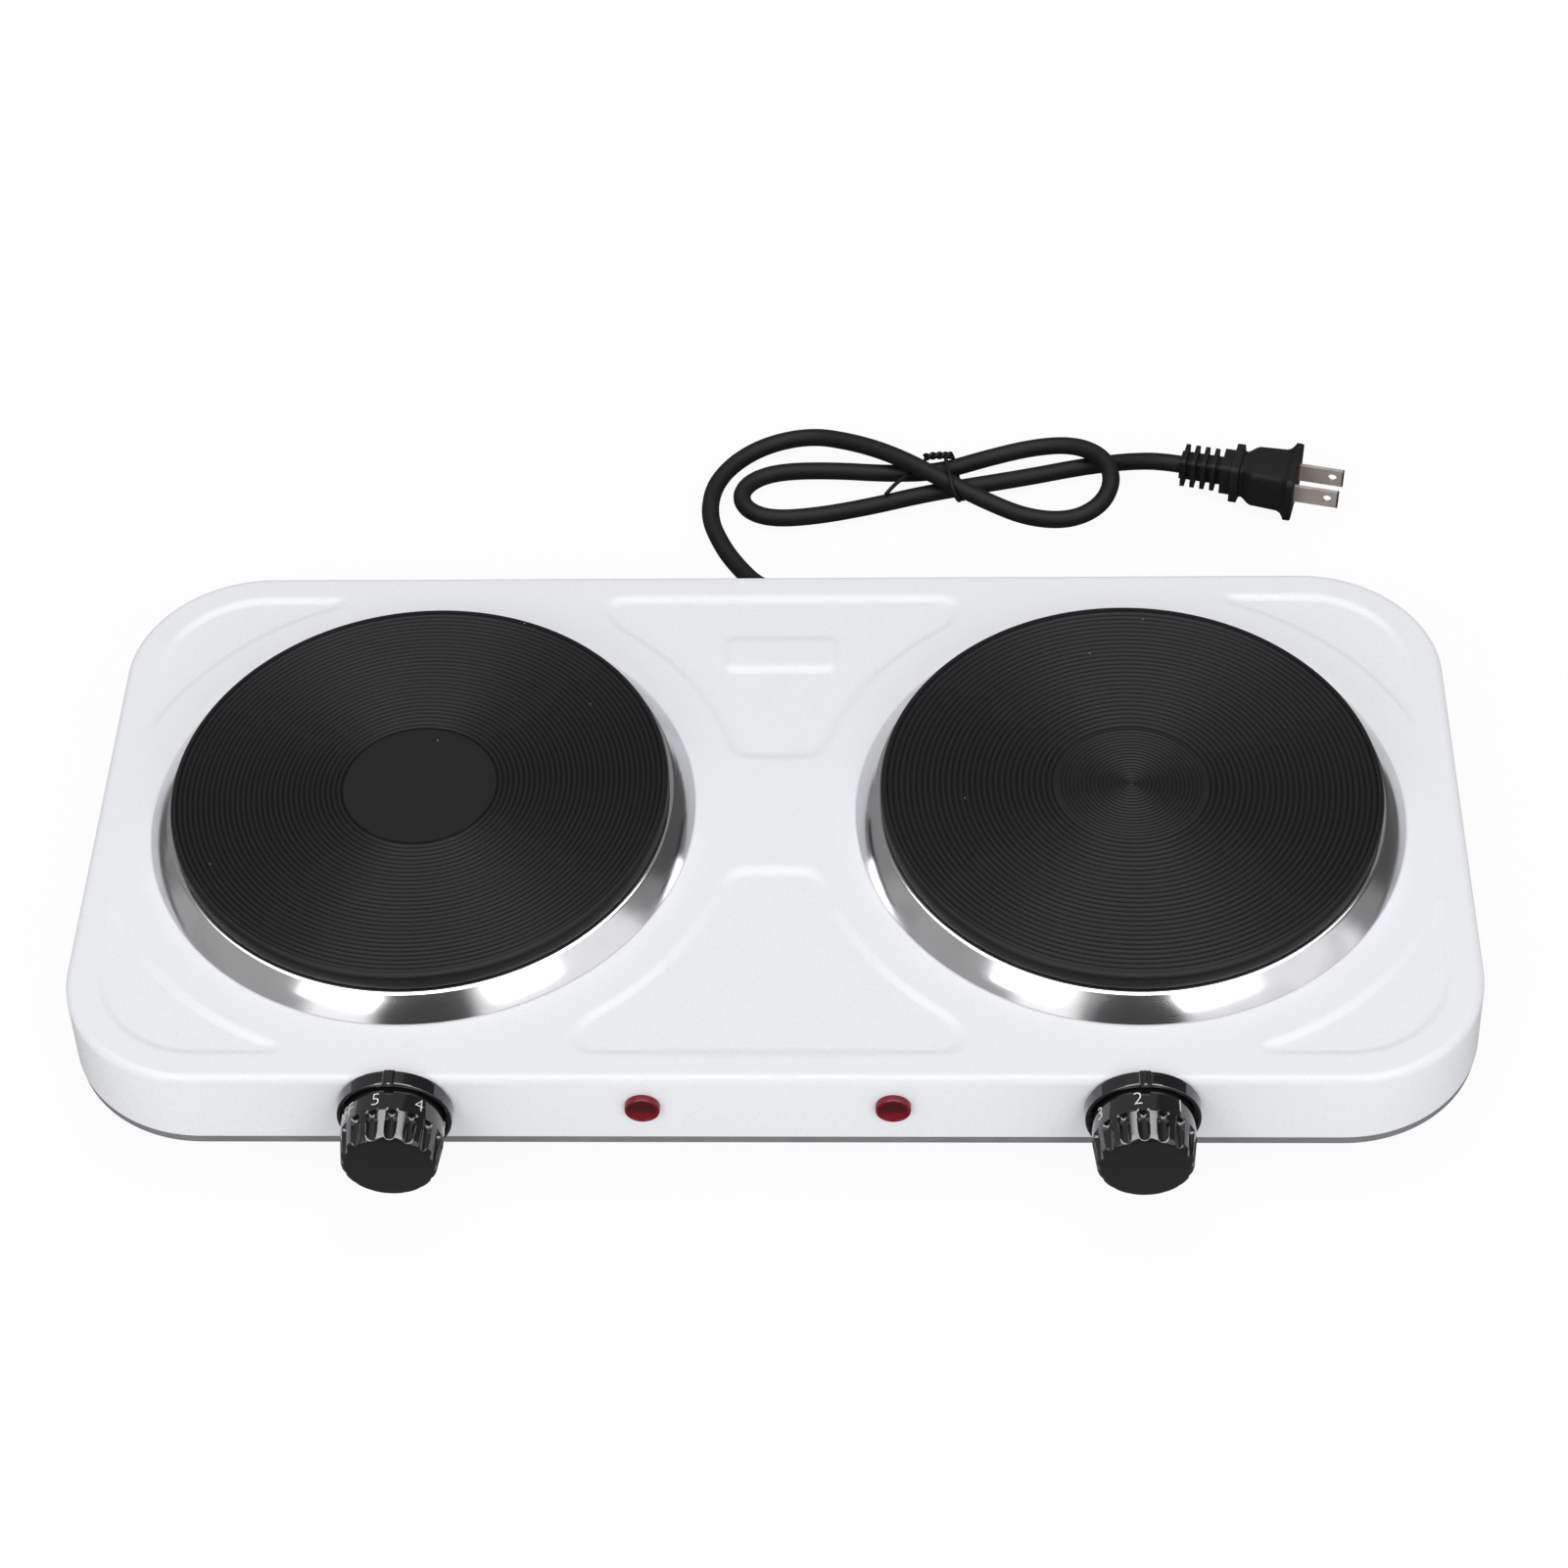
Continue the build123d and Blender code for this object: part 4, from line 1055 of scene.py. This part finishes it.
def wire_tie():
    """The tie: the loop, its free end and two strands that wind round the tail as a helix."""
    loop = wire(curve_through(tie_loop, tie_steps) * mm, tie_radius, tie_level)
    free = wire(curve_through(tie_end, tie_steps) * mm, tie_radius, upright)
    tail = curve_through(tie_tail, tie_twist_steps) * mm
    across, over = side_vectors(tail, upright)
    turn = np.linspace(0, 2 * np.pi * tie_twists, len(tail))[:, None]
    offset = tie_twist_radius * (np.cos(turn) * across + np.sin(turn) * over)
    pieces = {
        "tie_loop": loop,
        "tie_free_end": free,
        "tie_twist_a": wire(tail + offset, tie_radius, upright),
        "tie_twist_b": wire(tail - offset, tie_radius, upright),
    }
    made = [grid_piece(name, grid, "cord_rubber", "housing") for name, grid in pieces.items()]
    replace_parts(made[0], "cord_tie")
    return made


def oblong(width, height, corner, steps=5):
    """Points round a rectangle with round corners."""
    quarter = np.linspace(0, np.pi / 2, steps)
    angle = (np.arange(4)[:, None] * np.pi / 2 + quarter).ravel()
    middle = np.arange(4) * np.pi / 2 + np.pi / 4
    sign_x = np.repeat(np.sign(np.cos(middle)), steps)
    sign_y = np.repeat(np.sign(np.sin(middle)), steps)
    x = sign_x * (width / 2 - corner) + corner * np.cos(angle)
    y = sign_y * (height / 2 - corner) + corner * np.sin(angle)
    return np.stack([x, y], axis=-1)


def moulded_plug():
    """The plug: rounded oblong sections carried along its axis, with four ribs on the sleeve."""
    stations = [(0.0, *plug_sleeve)]
    for step in range(plug_ribs):
        low = plug_rib_start + step * plug_rib_pitch
        high = low + plug_rib_length
        stations += [(low, *plug_sleeve), (low + plug_step, *plug_rib)]
        stations += [(high - plug_step, *plug_rib), (high, *plug_sleeve)]
    stations += plug_stations
    sections = np.array([oblong(width, height, plug_corner * height) for _, width, height in stations]) * mm
    places = np.array([station[0] for station in stations])[:, None] * mm
    along = np.array(plug_axis.normalized())
    level = np.cross(upright, along)
    across = math.cos(plug_roll) * level + math.sin(plug_roll) * np.array(upright)
    over = np.cross(along, across)
    grid = np.array(plug_start) + places[..., None] * along
    grid = grid + sections[..., :1] * across + sections[..., 1:] * over
    ends = [np.broadcast_to(row.mean(axis=0), row.shape)[None] for row in (grid[0], grid[-1])]
    grid = np.concatenate([ends[0], grid, ends[1]])
    plug = grid_piece("moulded_plug", grid, "cord_rubber", "housing", plug_sharp)
    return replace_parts(plug, "plug_body")


def mains_cord(on_cord):
    """The cord: one smooth line through the route's control points, with a round section."""
    curve = bpy.data.curves.new("mains_cord", "CURVE")
    curve.dimensions = "3D"
    spline = curve.splines.new("NURBS")
    spline.points.add(len(cord_route) - 1)
    points = (np.array(cord_route) + np.array([0, cord_shift, 0])) * mm
    spline.points.foreach_set("co", np.concatenate([points, np.ones((len(points), 1))], axis=1).ravel())
    spline.order_u = cord_order
    spline.use_endpoint_u = True
    spline.resolution_u = cord_steps
    curve.bevel_depth = cord_diameter / 2
    curve.bevel_resolution = cord_round_steps
    curve.use_fill_caps = True
    curve.materials.append(finishes["cord_rubber"])
    cord = added("mains_cord", curve)
    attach(cord, "housing")
    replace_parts(cord, "power_cord")
    return cord


def dress_nodes():
    """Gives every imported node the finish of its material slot."""
    slot_of = {row["node"]: row["material_slot"] for row in frame["record"]["subparts"]}
    for name, node in packed_nodes.items():
        node.data.materials.clear()
        node.data.materials.append(finishes[slot_of[name]])


def floor():
    """A wide floor that keeps the object's shadow."""
    mesh = bpy.data.meshes.new("floor")
    corners = np.array([(-1, -1, 0), (1, -1, 0), (1, 1, 0), (-1, 1, 0)]) * floor_half
    mesh.from_pydata(corners.tolist(), [], [(0, 1, 2, 3)])
    made = added("floor", mesh)
    mesh.materials.append(finishes["floor_white"])


def studio():
    """A white room for the eye and an even soft light, with soft boxes in front, above and behind."""
    world = bpy.data.worlds.new("studio")
    bpy.context.scene.world = world
    world.use_nodes = True
    nodes = Nodes(world.node_tree)
    background = world.node_tree.nodes["Background"]
    background.inputs["Color"].default_value = white
    eye = nodes.ray("Camera")
    gloss = nodes.ray("Glossy")
    even = room_light + (1 - room_light) * eye
    nodes.feed(background.inputs["Strength"], even + gloss * (mirrored_room(nodes) - room_light))
    for name, box in soft_boxes.items():
        soft_box(name, *box)


def mirrored_room(nodes):
    """What shiny surfaces see of the room, by the bearing from the front.

    Dark behind the camera, bright screens to either side of it, a dark corner at the right, dim walls
    elsewhere and a bright screen overhead.
    """
    direction = nodes.add("ShaderNodeTexCoord", output="Generated")
    split = {name: nodes.add("ShaderNodeSeparateXYZ", None, {0: direction}, name) for name in "XYZ"}
    bearing = nodes.maths("ARCTAN2", split["X"], 0.0 - split["Y"])
    degrees = bearing * math.degrees(1)
    strength = dim_wall
    for low, high, level in room_screens:
        strength = strength + nodes.within(degrees, low, high, screen_edge) * (level - dim_wall)
    across = nodes.within(split["X"] / split["Z"], -overhead_side, overhead_side, overhead_edge)
    along = nodes.within(split["Y"] / split["Z"], -overhead_front, overhead_rear, overhead_edge)
    return strength + overhead_light * (across * along * (split["Z"] > overhead_least_rise))


def toward(azimuth, elevation):
    """Unit vector to a place, by its azimuth from the front and its elevation in degrees."""
    turn, rise = math.radians(azimuth), math.radians(elevation)
    return Vector((math.sin(turn) * math.cos(rise), -math.cos(turn) * math.cos(rise), math.sin(rise)))


def soft_box(name, azimuth, elevation, distance, size, power, mirrored):
    """A square lamp that faces the object and is seen in shiny surfaces if mirrored."""
    lamp = bpy.data.lights.new(name, "AREA")
    lamp.shape = "SQUARE"
    lamp.size = size
    lamp.energy = power
    made = added(name, lamp)
    back = toward(azimuth, elevation)
    made.location = look_at + back * distance
    made.visible_glossy = mirrored
    made.rotation_mode = "QUATERNION"
    made.rotation_quaternion = (-back).to_track_quat("-Z", "Y")


def camera():
    """The camera at the photograph's place, angle and roll."""
    back = toward(camera_azimuth, camera_elevation)
    level = (-back).cross(Vector(upright)).normalized()
    over = level.cross(-back)
    across = math.cos(camera_roll) * level + math.sin(camera_roll) * over
    up = math.cos(camera_roll) * over - math.sin(camera_roll) * level
    place = look_at + camera_distance * back
    data = bpy.data.cameras.new("camera")
    data.lens = camera_lens
    data.sensor_width = camera_sensor
    made = added("camera", data)
    made.matrix_world = Matrix.Translation(place) @ Matrix((across, up, back)).transposed().to_4x4()
    bpy.context.scene.camera = made


dress_nodes()
pressed_shell()
base_rim()
for side in sides:
    hot_plate(side)
    spill_ring(side)
    dial_knob(side)
    bezel_ring(side)
    lamp_cap(side)
mains_cord([*wire_tie(), moulded_plug(), packed_nodes["plug_blades"]])
floor()
studio()
camera()
bpy.context.scene.view_settings.view_transform = "Standard"
